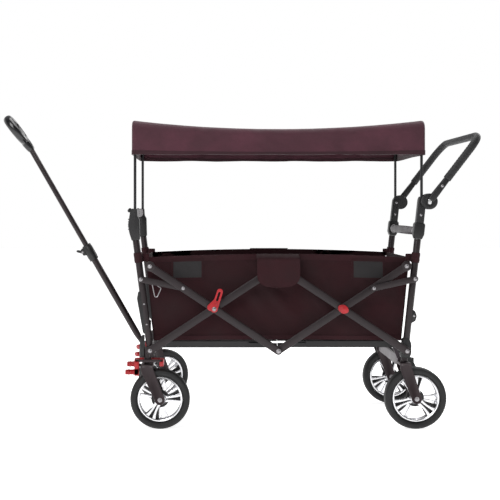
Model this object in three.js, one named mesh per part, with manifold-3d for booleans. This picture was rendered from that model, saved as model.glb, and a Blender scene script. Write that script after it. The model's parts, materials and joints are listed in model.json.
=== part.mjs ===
// Folding handcart: two end frames on wheels, joined on each side by a pair of crossed bars that
// fold like scissors, with a cloth tub between them, a sun canopy on two hoops, a push handle at
// the rear and a telescopic pull handle at the front.
//
// Millimetres. +X points to the rear (the push handle), -X to the front (the pull handle),
// +Y to the right-hand side of the cart, +Z up. The ground is Z = 0.
import * as THREE from "three";
import { mergeVertices } from "three/addons/utils/BufferGeometryUtils.js";
import Module from "manifold-3d";

const wasm = await Module();
wasm.setup();

// ---------------------------------------------------------------- driving dimensions
const GAP = 0.3; // between pieces that touch
const RUNNING_GAP = 0.4; // between a pin and its hole

// scissor bars
const BAR_LENGTH = 491; // pivot to pivot
const BAR_ANGLE = 33.4; // degrees above level, cart open
const FOLDED_ANGLE = 75; // degrees above level, cart folded
const BAR_DEPTH = 24;
const BAR_THICKNESS = 8;
const LAYER_GAP = 2;
const PIN_RADIUS = 4;
const HEAD_RADIUS = 7;
const HEAD_HEIGHT = 2.6;

// end frames
const TRACK_HALF = 215; // middle plane of the posts and wheels
const POST_RADIUS = 11;
const POST_TO_BAR = 4;
const FRONT_LEAN = 7.4; // degrees, top forward
const REAR_LEAN = 6.3; // degrees, top backward
const POST_FOOT_BELOW_PIVOT = 22;
const FRONT_POST_TOP = 352; // above the bottom pivots
const REAR_POST_TOP = 356;
const CROSS_TUBE_RADIUS = 10;
const PIVOT_ABOVE_CROWN = 38;

// wheels and forks
const FRONT_WHEEL_DIAMETER = 192;
const REAR_WHEEL_DIAMETER = 198;
const TYRE_WIDTH = 45;
const TYRE_DEPTH = 24;
const TYRE_FIT = 0.6; // between the tyre's bead and the rim
const TYRE_SIDES = 32;
const RIM_WIDTH = 30;
const RIM_WALL = 8;
const SPOKES = 3;
const SPOKE_WIDTH = 26; // a twin spoke's two blades
const FRONT_FIRST_SPOKE = 2; // degrees above level, towards the rear
const REAR_FIRST_SPOKE = 78;
const HUB_RADIUS = 21;
const AXLE_RADIUS = 6;
const CROWN_THICKNESS = 10;
const CROWN_CLEARANCE = 6;
const FORK_PLATE = 5;
const FORK_SIDE_GAP = 3.5;
const FORK_TIP_RADIUS = 16;
const CASTER_TRAIL = 40;
const CASTER_AXIS_FORWARD = 8; // swivel axis ahead of the bottom pivot
const RIGHT_CASTER_TURN = 30; // degrees, as the cart was last pushed
const STEM_RADIUS = 6;
const HOUSING_RADIUS = 13;
const HOUSING_ABOVE_PIVOT = 10;
const REAR_AXLE_BEHIND = 31; // behind the bottom pivot

// tub and floor
const TUB_HALF_WIDTH = 200;
const CLOTH = 4;
const TUB_FLOOR_ABOVE_PIVOT = 28;
const TUB_HEIGHT = 268;
const TUB_END_INSET = 13; // end cloth behind the post axis at the floor
const FLOOR_HINGE_INSET = 32;
const FLOOR_HINGE_ABOVE_PIVOT = 12;
const RAIL_HEIGHT = 14;
const FLOOR_PLATE = 6;
const FLOOR_FOLD_ANGLE = 95;

// canopy
const HOOP_RADIUS = 4.5;
const HOOP_HALF_WIDTH = 218;
const HOOP_BEND = 32;
const CANOPY_TOP = 991;
const CANOPY_SKIRT = 113;
const CANOPY_SAG = 27;
const CANOPY_HALF_WIDTH = 235;
const CANOPY_CLOTH = 3;
const BLOCK_HEIGHT = 76;
const BLOCK_HALF = 13;
const BRACKET_HEIGHT = 26;

// push handle
const MAST_WIDTH = 26;
const MAST_TOP = 493; // above the bottom pivots
const DISC_RADIUS = 25.5;
const PUSH_ARM = 268;
const PUSH_ANGLE = 37.5; // degrees from upright, leaning back
const PUSH_BEND = 60;
const PUSH_TUBE_HALF_WIDTH = 10;
const PUSH_TUBE_HALF_DEPTH = 12.8;

// pull handle
const PULL_ANGLE = 29.9; // degrees from upright, leaning forward
const PULL_LOWER = 380;
const PULL_UPPER_SHOWN = 385;
const PULL_UPPER_HIDDEN = 70;
const PULL_LOWER_RADIUS = 11;
const PULL_UPPER_RADIUS = 9;
const PULL_WALL = 1.6;
const COLLAR_RADIUS = 17;
const COLLAR_LENGTH = 60;
const GRIP_LENGTH = 140;
const GRIP_WIDTH = 105;
const GRIP_THICKNESS = 27;
const GRIP_BEND = 7.7; // degrees, grip leans further than the tube

// ---------------------------------------------------------------- derived layout
const radians = THREE.MathUtils.degToRad;
const openAngle = radians(BAR_ANGLE);
const foldedAngle = radians(FOLDED_ANGLE);
const halfSpan = BAR_LENGTH * Math.cos(openAngle);
const rise = BAR_LENGTH * Math.sin(openAngle);
const frontCrownTop = FRONT_WHEEL_DIAMETER + CROWN_CLEARANCE + CROWN_THICKNESS;
const rearCrownTop = REAR_WHEEL_DIAMETER + CROWN_CLEARANCE + CROWN_THICKNESS;
const pivotHeight = Math.max(frontCrownTop, rearCrownTop) + PIVOT_ABOVE_CROWN;
const frontSlope = Math.tan(radians(FRONT_LEAN));
const rearSlope = Math.tan(radians(REAR_LEAN));
const postOuter = TRACK_HALF + POST_RADIUS;
const innerLayer = postOuter + POST_TO_BAR;
const outerLayer = innerLayer + BAR_THICKNESS + LAYER_GAP;
const latchLayer = outerLayer + BAR_THICKNESS + LAYER_GAP;
const pinHole = PIN_RADIUS + RUNNING_GAP;
const casterX = -halfSpan - CASTER_AXIS_FORWARD;
const floorHeight = pivotHeight + TUB_FLOOR_ABOVE_PIVOT;
const rimHeight = floorHeight + TUB_HEIGHT;
const canopyHem = CANOPY_TOP - CANOPY_SKIRT;

const frontPostX = (z) => -halfSpan - frontSlope * (z - pivotHeight);
const rearPostX = (z) => halfSpan + rearSlope * (z - pivotHeight);
const frontPostEnd = pivotHeight + FRONT_POST_TOP;
const rearPostEnd = pivotHeight + REAR_POST_TOP;
const frontRodX = frontPostX(frontPostEnd) - 3;
const rearRodX = rearPostX(pivotHeight + MAST_TOP) - 3;

// ---------------------------------------------------------------- finishes
const FINISHES = {
  framePaint: { color: 0x3a3337, roughness: 0.45, metalness: 0.35 },
  forkPaint: { color: 0x3f2b33, roughness: 0.45, metalness: 0.3 },
  blackPlastic: { color: 0x17171a, roughness: 0.55, metalness: 0.0 },
  greyMetal: { color: 0xa9a4a6, roughness: 0.35, metalness: 0.8 },
  redPlastic: { color: 0xb41c26, roughness: 0.4, metalness: 0.0 },
  chrome: { color: 0xe6e6ea, roughness: 0.12, metalness: 1.0 },
  tyre: { color: 0x161616, roughness: 0.85, metalness: 0.0 },
  tubCloth: { color: 0x35242a, roughness: 0.95, metalness: 0.0 },
  canopyCloth: { color: 0x4c3a40, roughness: 0.9, metalness: 0.0 },
  foam: { color: 0x1b1b1d, roughness: 0.95, metalness: 0.0 },
  rod: { color: 0x222326, roughness: 0.4, metalness: 0.3 },
};

// ---------------------------------------------------------------- solid helpers
// A closed three.js geometry as a manifold-3d solid, for cutting and joining.
function toSolid(geometry) {
  const bare = geometry.clone();
  bare.deleteAttribute("normal");
  bare.deleteAttribute("uv");
  const merged = mergeVertices(bare, 1e-4);
  return new wasm.Manifold(
    new wasm.Mesh({
      numProp: 3,
      vertProperties: merged.attributes.position.array,
      triVerts: new Uint32Array(merged.index.array),
    }),
  );
}

function toGeometry(solid) {
  const mesh = solid.getMesh();
  const geometry = new THREE.BufferGeometry();
  geometry.setAttribute("position", new THREE.BufferAttribute(mesh.vertProperties, 3));
  geometry.setIndex(new THREE.BufferAttribute(mesh.triVerts, 1));
  geometry.computeVertexNormals();
  return geometry;
}

// Joins the geometries in add, then takes away those in cut.
function carve(add, cut = []) {
  let solid = toSolid(add[0]);
  for (const geometry of add.slice(1)) {
    solid = solid.add(toSolid(geometry));
  }
  for (const geometry of cut) {
    solid = solid.subtract(toSolid(geometry));
  }
  return toGeometry(solid);
}

const ALONG_Y = new THREE.Matrix4().makeBasis(
  new THREE.Vector3(1, 0, 0),
  new THREE.Vector3(0, 0, 1),
  new THREE.Vector3(0, -1, 0),
);
const ALONG_X = new THREE.Matrix4().makeBasis(
  new THREE.Vector3(0, 1, 0),
  new THREE.Vector3(0, 0, 1),
  new THREE.Vector3(1, 0, 0),
);

function extrude(shape, depth, curveSegments = 6) {
  return new THREE.ExtrudeGeometry(shape, { depth, bevelEnabled: false, curveSegments });
}

// A plate whose outline is drawn in X and Z, between two values of Y.
function plateAcrossY(shape, [low, high], curveSegments) {
  return extrude(shape, high - low, curveSegments).applyMatrix4(ALONG_Y).translate(0, high, 0);
}

// A plate whose outline is drawn in Y and Z, between two values of X.
function plateAcrossX(shape, [low, high], curveSegments) {
  return extrude(shape, high - low, curveSegments).applyMatrix4(ALONG_X).translate(low, 0, 0);
}

// A plate whose outline is drawn in X and Y, between two heights.
function plateLevel(shape, [low, high], curveSegments) {
  return extrude(shape, high - low, curveSegments).translate(0, 0, low);
}

function box([x0, x1], [y0, y1], [z0, z1]) {
  return new THREE.BoxGeometry(x1 - x0, y1 - y0, z1 - z0).translate(
    (x0 + x1) / 2,
    (y0 + y1) / 2,
    (z0 + z1) / 2,
  );
}

// A round bar between two points.
function rod(from, to, radius, sides = 12) {
  const a = new THREE.Vector3(...from);
  const b = new THREE.Vector3(...to);
  const along = b.clone().sub(a);
  const turn = new THREE.Quaternion().setFromUnitVectors(
    new THREE.Vector3(0, 1, 0),
    along.clone().normalize(),
  );
  const middle = a.add(b).multiplyScalar(0.5);
  return new THREE.CylinderGeometry(radius, radius, along.length(), sides)
    .applyQuaternion(turn)
    .translate(middle.x, middle.y, middle.z);
}

// A round bar across the cart at (x, z).
function crossRod(x, z, [low, high], radius, sides = 12) {
  return rod([x, low, z], [x, high, z], radius, sides);
}

function outline(points) {
  return new THREE.Shape(points.map(([x, y]) => new THREE.Vector2(x, y)));
}

// A bar outline with round ends from x = 0 to x = length, with round holes along its middle.
function linkOutline(length, depth, holes) {
  const radius = depth / 2;
  const shape = new THREE.Shape();
  shape.absarc(length, 0, radius, -Math.PI / 2, Math.PI / 2, false);
  shape.absarc(0, 0, radius, Math.PI / 2, 1.5 * Math.PI, false);
  for (const at of holes) {
    shape.holes.push(new THREE.Path().absarc(at, 0, pinHole, 0, 2 * Math.PI, true));
  }
  return shape;
}

// A tube swept along a path with an oval section of twice curveSegments sides.
function sweptTube(path, halfWidth, halfDepth, curveSegments) {
  const section = new THREE.Shape();
  section.absellipse(0, 0, halfWidth, halfDepth, 0, 2 * Math.PI, false, 0);
  return new THREE.ExtrudeGeometry(section, {
    steps: path.steps,
    extrudePath: path,
    curveSegments,
    bevelEnabled: false,
  });
}

// Straight stretches between corner points, with each inner corner rounded. It has one station
// at each end of a straight stretch and a few around each bend.
class RoundedPath extends THREE.Curve {
  constructor(points, bend, bendSteps) {
    super();
    const corners = points.map((p) => new THREE.Vector3(...p));
    this.stations = [corners[0]];
    for (let i = 1; i < corners.length - 1; i += 1) {
      const into = corners[i].clone().sub(corners[i - 1]).normalize();
      const out = corners[i + 1].clone().sub(corners[i]).normalize();
      const start = corners[i].clone().addScaledVector(into, -bend);
      const centre = start.clone().addScaledVector(out, bend);
      for (let step = 0; step <= bendSteps; step += 1) {
        const turn = (step / bendSteps) * (Math.PI / 2);
        this.stations.push(
          centre
            .clone()
            .addScaledVector(out, -bend * Math.cos(turn))
            .addScaledVector(into, bend * Math.sin(turn)),
        );
      }
    }
    this.stations.push(corners[corners.length - 1]);
  }

  get steps() {
    return this.stations.length - 1;
  }

  getPoint(t, target = new THREE.Vector3()) {
    const at = Math.min(t * this.steps, this.steps);
    const index = Math.min(Math.floor(at), this.steps - 1);
    return target.lerpVectors(this.stations[index], this.stations[index + 1], at - index);
  }

  getTangent(t, target = new THREE.Vector3()) {
    const index = Math.round(t * this.steps);
    const before = this.stations[Math.max(index - 1, 0)];
    const here = this.stations[index];
    const after = this.stations[Math.min(index + 1, this.steps)];
    const into = here.clone().sub(before).normalize();
    return target.copy(after).sub(here).normalize().add(into).normalize();
  }

  getUtoTmapping(u) {
    return u;
  }
}

const SIDES = [
  ["left", -1],
  ["right", 1],
];

// The span between two distances from the cart's middle plane, on one side.
function across(side, inner, outer) {
  return side < 0 ? [-outer, -inner] : [inner, outer];
}

const cart = new THREE.Group();

function addMesh(parent, name, geometry, finish, position = [0, 0, 0], turnY = 0) {
  const mesh = new THREE.Mesh(geometry, new THREE.MeshStandardMaterial(FINISHES[finish]));
  mesh.name = name;
  mesh.position.set(...position);
  mesh.rotation.y = turnY;
  parent.add(mesh);
  return mesh;
}

function addGroup(parent, position, { turnY = 0, turnZ = 0 } = {}) {
  const group = new THREE.Group();
  group.position.set(...position);
  group.rotation.set(0, turnY, turnZ);
  parent.add(group);
  return group;
}

// A pivot stud: a pin outward from a plate, ending in a round head.
function stud(x, z, side, from, to) {
  return [
    crossRod(x, z, across(side, from - 1, to + GAP), PIN_RADIUS, 12),
    crossRod(x, z, across(side, to + GAP, to + GAP + HEAD_HEIGHT), HEAD_RADIUS),
  ];
}

// ---------------------------------------------------------------- struts
// Where a strut meets its post: level with neither end of the fold favoured, so that the strut
// reaches its bar both with the cart open and with it folded.
const STRUT_ON_BAR = 127;

function strutLayout(slope) {
  const onBar = (angle) =>
    new THREE.Vector2(
      STRUT_ON_BAR * Math.cos(angle),
      BAR_LENGTH * Math.sin(angle) - STRUT_ON_BAR * Math.sin(angle),
    );
  const open = onBar(openAngle);
  const folded = onBar(foldedAngle);
  const step = folded.clone().sub(open);
  const middle = open.clone().add(folded).multiplyScalar(0.5);
  const height = middle.dot(step) / (step.y - slope * step.x);
  const anchor = new THREE.Vector2(-slope * height, height);
  const reach = open.clone().sub(anchor);
  return { anchor, length: reach.length(), angle: Math.atan2(reach.y, reach.x) };
}

const frontStrut = strutLayout(frontSlope);
const rearStrut = strutLayout(rearSlope);

// ---------------------------------------------------------------- scissor bars
function barSpans(side) {
  return {
    inner: across(side, innerLayer, innerLayer + BAR_THICKNESS),
    outer: across(side, outerLayer, outerLayer + BAR_THICKNESS),
  };
}

const innerFace = innerLayer + BAR_THICKNESS;
const outerFace = outerLayer + BAR_THICKNESS;
const latchFace = latchLayer + 6;

function bar(side, span, holes, studs, bracketAt = null) {
  const pieces = [plateAcrossY(linkOutline(BAR_LENGTH, BAR_DEPTH, holes), span)];
  for (const { at, from, to } of studs) {
    pieces.push(...stud(at, 0, side, from, to));
  }
  if (bracketAt !== null) {
    pieces.push(crossRod(bracketAt, 0, span, BAR_DEPTH / 2 + 4, 16));
  }
  return pieces.length === 1 ? pieces[0] : carve(pieces);
}

function addBars(name, side) {
  const span = barSpans(side);
  const half = BAR_LENGTH / 2;
  const low = pivotHeight;
  const high = pivotHeight + rise;
  addMesh(
    cart,
    `bar_front_rising_${name}`,
    bar(side, span.inner, [0], [
      { at: half, from: innerFace, to: latchFace },
      { at: BAR_LENGTH, from: innerFace, to: outerFace },
    ]),
    "framePaint",
    [-halfSpan, 0, low],
    -openAngle,
  );
  addMesh(
    cart,
    `bar_front_falling_${name}`,
    bar(side, span.outer, [half, BAR_LENGTH], [], 0),
    "framePaint",
    [-halfSpan, 0, high],
    openAngle,
  );
  addMesh(
    cart,
    `bar_rear_rising_${name}`,
    bar(side, span.inner, [], [
      { at: 0, from: innerFace, to: outerFace },
      { at: half, from: innerFace, to: outerFace },
    ], BAR_LENGTH),
    "framePaint",
    [0, 0, low],
    -openAngle,
  );
  addMesh(
    cart,
    `bar_rear_falling_${name}`,
    bar(side, span.outer, [0, half, BAR_LENGTH], []),
    "framePaint",
    [0, 0, high],
    openAngle,
  );
}

function addStruts(name, side) {
  const span = barSpans(side);
  const STRUT_DEPTH = 20;
  const layouts = [
    ["front", -1, frontStrut, span.inner],
    ["rear", 1, rearStrut, span.outer],
  ];
  for (const [end, sign, strut, layer] of layouts) {
    const geometry = plateAcrossY(linkOutline(strut.length, STRUT_DEPTH, [0, strut.length]), layer);
    const x = sign * (halfSpan - strut.anchor.x);
    const turn = sign < 0 ? -strut.angle : strut.angle - Math.PI;
    addMesh(
      cart,
      `strut_${end}_${name}`,
      geometry,
      "framePaint",
      [x, 0, pivotHeight + strut.anchor.y],
      turn,
    );
  }
}

// The red lever that locks the front crossing, and the red cap on the rear crossing.
function addCrossingFittings(name, side) {
  const LEVER_REACH = 58;
  const LEVER_DEPTH = 20;
  const LEVER_ANGLE = radians(71.6);
  const CAP_RADIUS = 12;
  const CAP_HEIGHT = 5;
  const lever = linkOutline(LEVER_REACH, LEVER_DEPTH, [0]);
  const slot = new THREE.Path();
  slot.absarc(LEVER_REACH - 4, 0, 4, Math.PI / 2, -Math.PI / 2, true);
  slot.absarc(LEVER_REACH - 30, 0, 4, -Math.PI / 2, Math.PI / 2, true);
  lever.holes.push(slot);
  const middleHeight = pivotHeight + rise / 2;
  addMesh(
    cart,
    `latch_lever_${name}`,
    plateAcrossY(lever, across(side, latchLayer, latchFace)),
    "redPlastic",
    [-halfSpan / 2, 0, middleHeight],
    -LEVER_ANGLE,
  );
  const capFrom = outerFace + GAP + HEAD_HEIGHT + GAP;
  addMesh(
    cart,
    `crossing_cap_${name}`,
    crossRod(0, 0, across(side, capFrom, capFrom + CAP_HEIGHT), CAP_RADIUS, 16),
    "redPlastic",
    [halfSpan / 2, 0, middleHeight],
  );
}

// ---------------------------------------------------------------- end frames
const housingTop = pivotHeight + HOUSING_ABOVE_PIVOT;
const housingBottom = frontCrownTop + 4;
const stemTop = housingTop - 6;

// A front post: leaning tube, upright caster housing at its foot, and studs for bar and strut.
function frontPost(side) {
  const y = side * TRACK_HALF;
  const foot = pivotHeight - POST_FOOT_BELOW_PIVOT;
  const strutX = -halfSpan + frontStrut.anchor.x;
  const strutZ = pivotHeight + frontStrut.anchor.y;
  return carve(
    [
      rod([frontPostX(foot), y, foot], [frontPostX(frontPostEnd), y, frontPostEnd], POST_RADIUS),
      rod([casterX, y, housingBottom], [casterX, y, housingTop], HOUSING_RADIUS, 16),
      ...stud(-halfSpan, pivotHeight, side, TRACK_HALF, innerFace),
      ...stud(strutX, strutZ, side, TRACK_HALF, innerFace),
    ],
    [
      rod(
        [casterX, y, housingBottom - 1],
        [casterX, y, stemTop + 2],
        STEM_RADIUS + RUNNING_GAP,
      ),
    ],
  );
}

function rearPost(side) {
  const y = side * TRACK_HALF;
  const foot = rearCrownTop + GAP;
  const strutX = halfSpan - rearStrut.anchor.x;
  const strutZ = pivotHeight + rearStrut.anchor.y;
  const spacer = across(side, TRACK_HALF, outerLayer - GAP);
  const below = foot - 2 * POST_RADIUS;
  return carve(
    [
      rod([rearPostX(below), y, below], [rearPostX(rearPostEnd), y, rearPostEnd], POST_RADIUS),
      crossRod(halfSpan, pivotHeight, spacer, HEAD_RADIUS),
      crossRod(strutX, strutZ, spacer, HEAD_RADIUS),
      ...stud(halfSpan, pivotHeight, side, TRACK_HALF, outerFace),
      ...stud(strutX, strutZ, side, TRACK_HALF, outerFace),
    ],
    [
      box(
        [rearPostX(below) - 2 * POST_RADIUS, rearPostX(foot) + 2 * POST_RADIUS],
        [y - 2 * POST_RADIUS, y + 2 * POST_RADIUS],
        [below - 2 * POST_RADIUS, foot],
      ),
    ],
  );
}

// A point in X and Z beside the axis of a leaning post: across it, and along it from its end.
function besidePost(endX, endZ, lean, aside, along) {
  const angle = radians(lean);
  return [
    endX + aside * Math.cos(angle) + along * Math.sin(angle),
    endZ - aside * Math.sin(angle) + along * Math.cos(angle),
  ];
}

// The plastic block on a front post, with the socket that holds the canopy hoop and, on top,
// the bracket that holds the cross bar.
function postBlock(side) {
  const y = side * TRACK_HALF;
  const top = frontPostEnd + BLOCK_HEIGHT;
  const at = (aside, along) =>
    besidePost(frontPostX(frontPostEnd), frontPostEnd, -FRONT_LEAN, aside, along);
  const body = plateAcrossY(
    outline([
      at(-13, GAP),
      at(13, GAP),
      [frontRodX + 14, top - 8],
      [frontRodX + 8, top],
      [frontRodX + 6, top + BRACKET_HEIGHT],
      [frontRodX - 14, top + BRACKET_HEIGHT],
      [frontRodX - 18, top],
      [frontRodX - 22, top - 26],
      [frontRodX - 18, frontPostEnd + 24],
    ]),
    [y - BLOCK_HALF, y + BLOCK_HALF],
  );
  return carve(
    [body],
    [
      rod(
        [frontRodX, side * HOOP_HALF_WIDTH, frontPostEnd - 10],
        [frontRodX, side * HOOP_HALF_WIDTH, top + BRACKET_HEIGHT + 1],
        HOOP_RADIUS + RUNNING_GAP,
      ),
    ],
  );
}

// The push handle's pivot, behind the top of the mast.
const mastTop = pivotHeight + MAST_TOP;
const pushPivotX = rearPostX(mastTop - 16) + 18;
const pushPivotZ = mastTop - 16;
const SOCKET_DEPTH = 88;
const mastOuter = TRACK_HALF + MAST_WIDTH / 2;
const discFace = mastOuter + 12;
const armDisc = [discFace + GAP, discFace + GAP + 12];
const HUB_PIN = 6;
const BUTTON_RADIUS = 9;

// A mast: collar on the rear post, upper sleeve, and the fixed half of the rotary joint.
function mast(side) {
  const y = side * TRACK_HALF;
  const half = MAST_WIDTH / 2;
  const length = MAST_TOP - REAR_POST_TOP;
  const at = (aside, along) =>
    besidePost(rearPostX(rearPostEnd), rearPostEnd, REAR_LEAN, aside, along);
  const collar = plateAcrossY(
    outline([
      at(-11, GAP),
      at(11, GAP),
      at(17, 16),
      at(17, 48),
      at(-17, 48),
      at(-17, 14),
    ]),
    [y - half - 2, y + half + 2],
  );
  const sleeve = plateAcrossY(
    outline([
      at(-half, 6),
      at(half, 6),
      at(half, length - 12),
      at(half - 6, length),
      at(-half + 4, length),
      at(-half, length - 10),
    ]),
    [y - half, y + half],
  );
  const socketY = side * HOOP_HALF_WIDTH;
  const socketTop = pushPivotZ + DISC_RADIUS + 18;
  return carve(
    [
      collar,
      sleeve,
      crossRod(pushPivotX, pushPivotZ, across(side, TRACK_HALF - 4, discFace), DISC_RADIUS, 24),
      crossRod(pushPivotX, pushPivotZ, across(side, discFace - 1, discFace + 3), HUB_PIN),
    ],
    [
      rod(
        [rearRodX, socketY, mastTop - SOCKET_DEPTH],
        [rearRodX, socketY, socketTop],
        HOOP_RADIUS + RUNNING_GAP,
      ),
    ],
  );
}

function addFrontFrame() {
  for (const [name, side] of SIDES) {
    addMesh(cart, `front_post_${name}`, frontPost(side), "framePaint");
    addMesh(cart, `post_block_${name}`, postBlock(side), "blackPlastic");
  }
  const barZ = frontPostEnd + BLOCK_HEIGHT + BRACKET_HEIGHT - 15;
  const blockInner = TRACK_HALF - BLOCK_HALF - GAP;
  const topBar = new THREE.Shape();
  topBar.absellipse(0, 0, 7, 15, 0, 2 * Math.PI, false, 0);
  addMesh(
    cart,
    "front_top_bar",
    plateAcrossY(topBar, [-blockInner, blockInner], 8),
    "greyMetal",
    [frontRodX - 4, 0, barZ],
  );
  addMesh(cart, "front_bottom_bar", frontBottomBar(TRACK_HALF - HOUSING_RADIUS - GAP), "framePaint");
  addTubEnd("tub_end_front", -1);
}

const steeringX = -halfSpan - 37;
const lugTop = housingBottom + 6;
const YOKE_PIN_RADIUS = 5;
const YOKE_PIN_HEIGHT = 13;
const bottomBarZ = pivotHeight - 11;
const floorHingeZ = pivotHeight + FLOOR_HINGE_ABOVE_PIVOT;
const floorHingeX = halfSpan - FLOOR_HINGE_INSET;
const lugInner = TUB_HALF_WIDTH - 24;

// The two lanes in which the floor boards' rails run, measured from the cart's middle plane.
const FRONT_LANE = [TUB_HALF_WIDTH - 7.5, TUB_HALF_WIDTH - 2];
const REAR_LANE = [TUB_HALF_WIDTH - 14, TUB_HALF_WIDTH - 8.5];

// A plate from the cross tube up to a floor board's hinge, with its stub pin.
function floorLug(sign, side, barX, barZ, lane) {
  const hingeX = sign * floorHingeX;
  const dx = hingeX - barX;
  const dz = floorHingeZ - barZ;
  const reach = Math.hypot(dx, dz);
  const plate = plateAcrossY(linkOutline(reach, 12, []), across(side, lugInner, lugInner + 6));
  plate.rotateY(-Math.atan2(dz, dx)).translate(barX, 0, barZ);
  return [
    plate,
    crossRod(hingeX, floorHingeZ, across(side, lugInner + 5, lane[1] - 0.5), PIN_RADIUS),
  ];
}

// The front cross tube, with floor lugs and the fixed half of the pull handle's upright swivel.
function frontBottomBar(reach) {
  const x = -halfSpan + 5;
  const barrelRadius = 11;
  return carve([
    crossRod(x, bottomBarZ, [-reach, reach], CROSS_TUBE_RADIUS, 16),
    ...floorLug(-1, -1, x, bottomBarZ, FRONT_LANE),
    ...floorLug(-1, 1, x, bottomBarZ, FRONT_LANE),
    plateAcrossY(
      outline([
        [x, bottomBarZ - 8],
        [x, bottomBarZ + 6],
        [x - 9, bottomBarZ + 2],
        [steeringX + barrelRadius + 2, lugTop - 1],
        [steeringX, lugTop - 1],
        [steeringX, lugTop - 25],
      ]),
      [-8, 8],
    ),
    rod([steeringX, 0, lugTop - 27], [steeringX, 0, lugTop], barrelRadius, 16),
    rod([steeringX, 0, lugTop - 1], [steeringX, 0, lugTop + YOKE_PIN_HEIGHT], YOKE_PIN_RADIUS),
  ]);
}

// The rear cross plate between the forks, with arms up to the floor board's hinge lugs.
function rearBottomBar() {
  const x = halfSpan - 12;
  const reach = TRACK_HALF - TYRE_WIDTH / 2 - FORK_SIDE_GAP - FORK_PLATE - GAP;
  const middle = rearCrownTop - 4;
  return carve([
    box([x - 4, x + 4], [-reach, reach], [middle - 15, middle + 15]),
    ...floorLug(1, -1, x, middle + 8, REAR_LANE),
    ...floorLug(1, 1, x, middle + 8, REAR_LANE),
  ]);
}

function addRearFrame() {
  for (const [name, side] of SIDES) {
    addMesh(cart, `rear_post_${name}`, rearPost(side), "framePaint");
    addMesh(cart, `mast_${name}`, mast(side), "blackPlastic");
    addMesh(cart, `rear_fork_${name}`, rearFork(side), "forkPaint");
  }
  const grabZ = rearPostEnd + 26;
  const reach = TRACK_HALF - MAST_WIDTH / 2 - 2 - GAP;
  const section = new THREE.Shape();
  section.absellipse(0, 0, 9, 14, 0, 2 * Math.PI, false, 0);
  addMesh(
    cart,
    "rear_grab_bar",
    plateAcrossY(section, [-reach, reach], 8),
    "greyMetal",
    [rearPostX(grabZ) - 4, 0, grabZ],
  );
  addMesh(cart, "rear_bottom_bar", rearBottomBar(), "greyMetal");
  addTubEnd("tub_end_rear", 1);
}

// ---------------------------------------------------------------- wheels and forks
function tyre(radius) {
  const half = TYRE_WIDTH / 2;
  const inner = radius - TYRE_DEPTH;
  const profile = [
    [inner, -half + 6],
    [inner + 8, -half],
    [radius - 9, -half],
    [radius, -half + 11],
    [radius, half - 11],
    [radius - 9, half],
    [inner + 8, half],
    [inner, half - 6],
    [inner, -half + 6],
  ];
  return new THREE.LatheGeometry(
    profile.map(([r, y]) => new THREE.Vector2(r, y)),
    TYRE_SIDES,
  );
}

// Points along an arc about the origin, both ends included.
function arcPoints(radius, from, to, steps) {
  return Array.from({ length: steps + 1 }, (_, i) => {
    const angle = from + ((to - from) * i) / steps;
    return new THREE.Vector2(radius * Math.cos(angle), radius * Math.sin(angle));
  });
}

// A spoked rim with a bore for the axle.
function rim(radius, firstSpoke) {
  const WINDOW_OUTER_STEPS = 6;
  const WINDOW_INNER_STEPS = 3;
  const outer = radius - TYRE_DEPTH - TYRE_FIT;
  const inner = outer - RIM_WALL;
  const disc = new THREE.Shape().absarc(0, 0, outer, 0, 2 * Math.PI, false);
  const bore = arcPoints(AXLE_RADIUS + RUNNING_GAP, 0, 2 * Math.PI, 12).slice(0, -1);
  disc.holes.push(new THREE.Path(bore));
  const pitch = (2 * Math.PI) / SPOKES;
  for (let i = 0; i < SPOKES; i += 1) {
    const nearHalf = pitch / 2 - SPOKE_WIDTH / 2 / HUB_RADIUS;
    const farHalf = pitch / 2 - SPOKE_WIDTH / 2 / inner;
    const middle = radians(firstSpoke) + (i - 0.5) * pitch;
    disc.holes.push(
      new THREE.Path([
        ...arcPoints(inner, middle - farHalf, middle + farHalf, WINDOW_OUTER_STEPS),
        ...arcPoints(HUB_RADIUS, middle + nearHalf, middle - nearHalf, WINDOW_INNER_STEPS),
      ]),
    );
  }
  return plateAcrossY(disc, [-RIM_WIDTH / 2, RIM_WIDTH / 2], TYRE_SIDES / 2);
}

// A fork blade in X and Z: broad at the crown, round at the axle.
function bladeOutline(top, topFront, topBack, axleX, axleZ) {
  const shape = new THREE.Shape();
  shape.moveTo(topFront, top);
  shape.lineTo(topFront, top - 18);
  shape.absarc(axleX, axleZ, FORK_TIP_RADIUS, 1.12 * Math.PI, 2.12 * Math.PI, false);
  shape.lineTo(topBack, top - 14);
  shape.lineTo(topBack, top);
  return shape;
}

const bladeInner = TYRE_WIDTH / 2 + FORK_SIDE_GAP;
const bladeOuter = bladeInner + FORK_PLATE;

function forkPieces(top, topFront, topBack, axleX, axleZ) {
  const shape = bladeOutline(top, topFront, topBack, axleX, axleZ);
  return [
    plateAcrossY(shape, [-bladeOuter, -bladeInner]),
    plateAcrossY(shape, [bladeInner, bladeOuter]),
    box([topFront, topBack], [-bladeOuter, bladeOuter], [top - CROWN_THICKNESS, top]),
    crossRod(axleX, axleZ, [-bladeOuter - 3, bladeOuter + 3], AXLE_RADIUS),
  ];
}

// The swivelling front fork; its origin is on the swivel axis at the ground.
const CROWN_FRONT = -24;
const CROWN_BACK = 34;
const ROCKER_PIVOT_X = -34;
const ROCKER_PIVOT_Z = frontCrownTop - CROWN_THICKNESS / 2;
const ROCKER_PIN_RADIUS = 3;
const TONGUE_HALF = 6;

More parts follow.
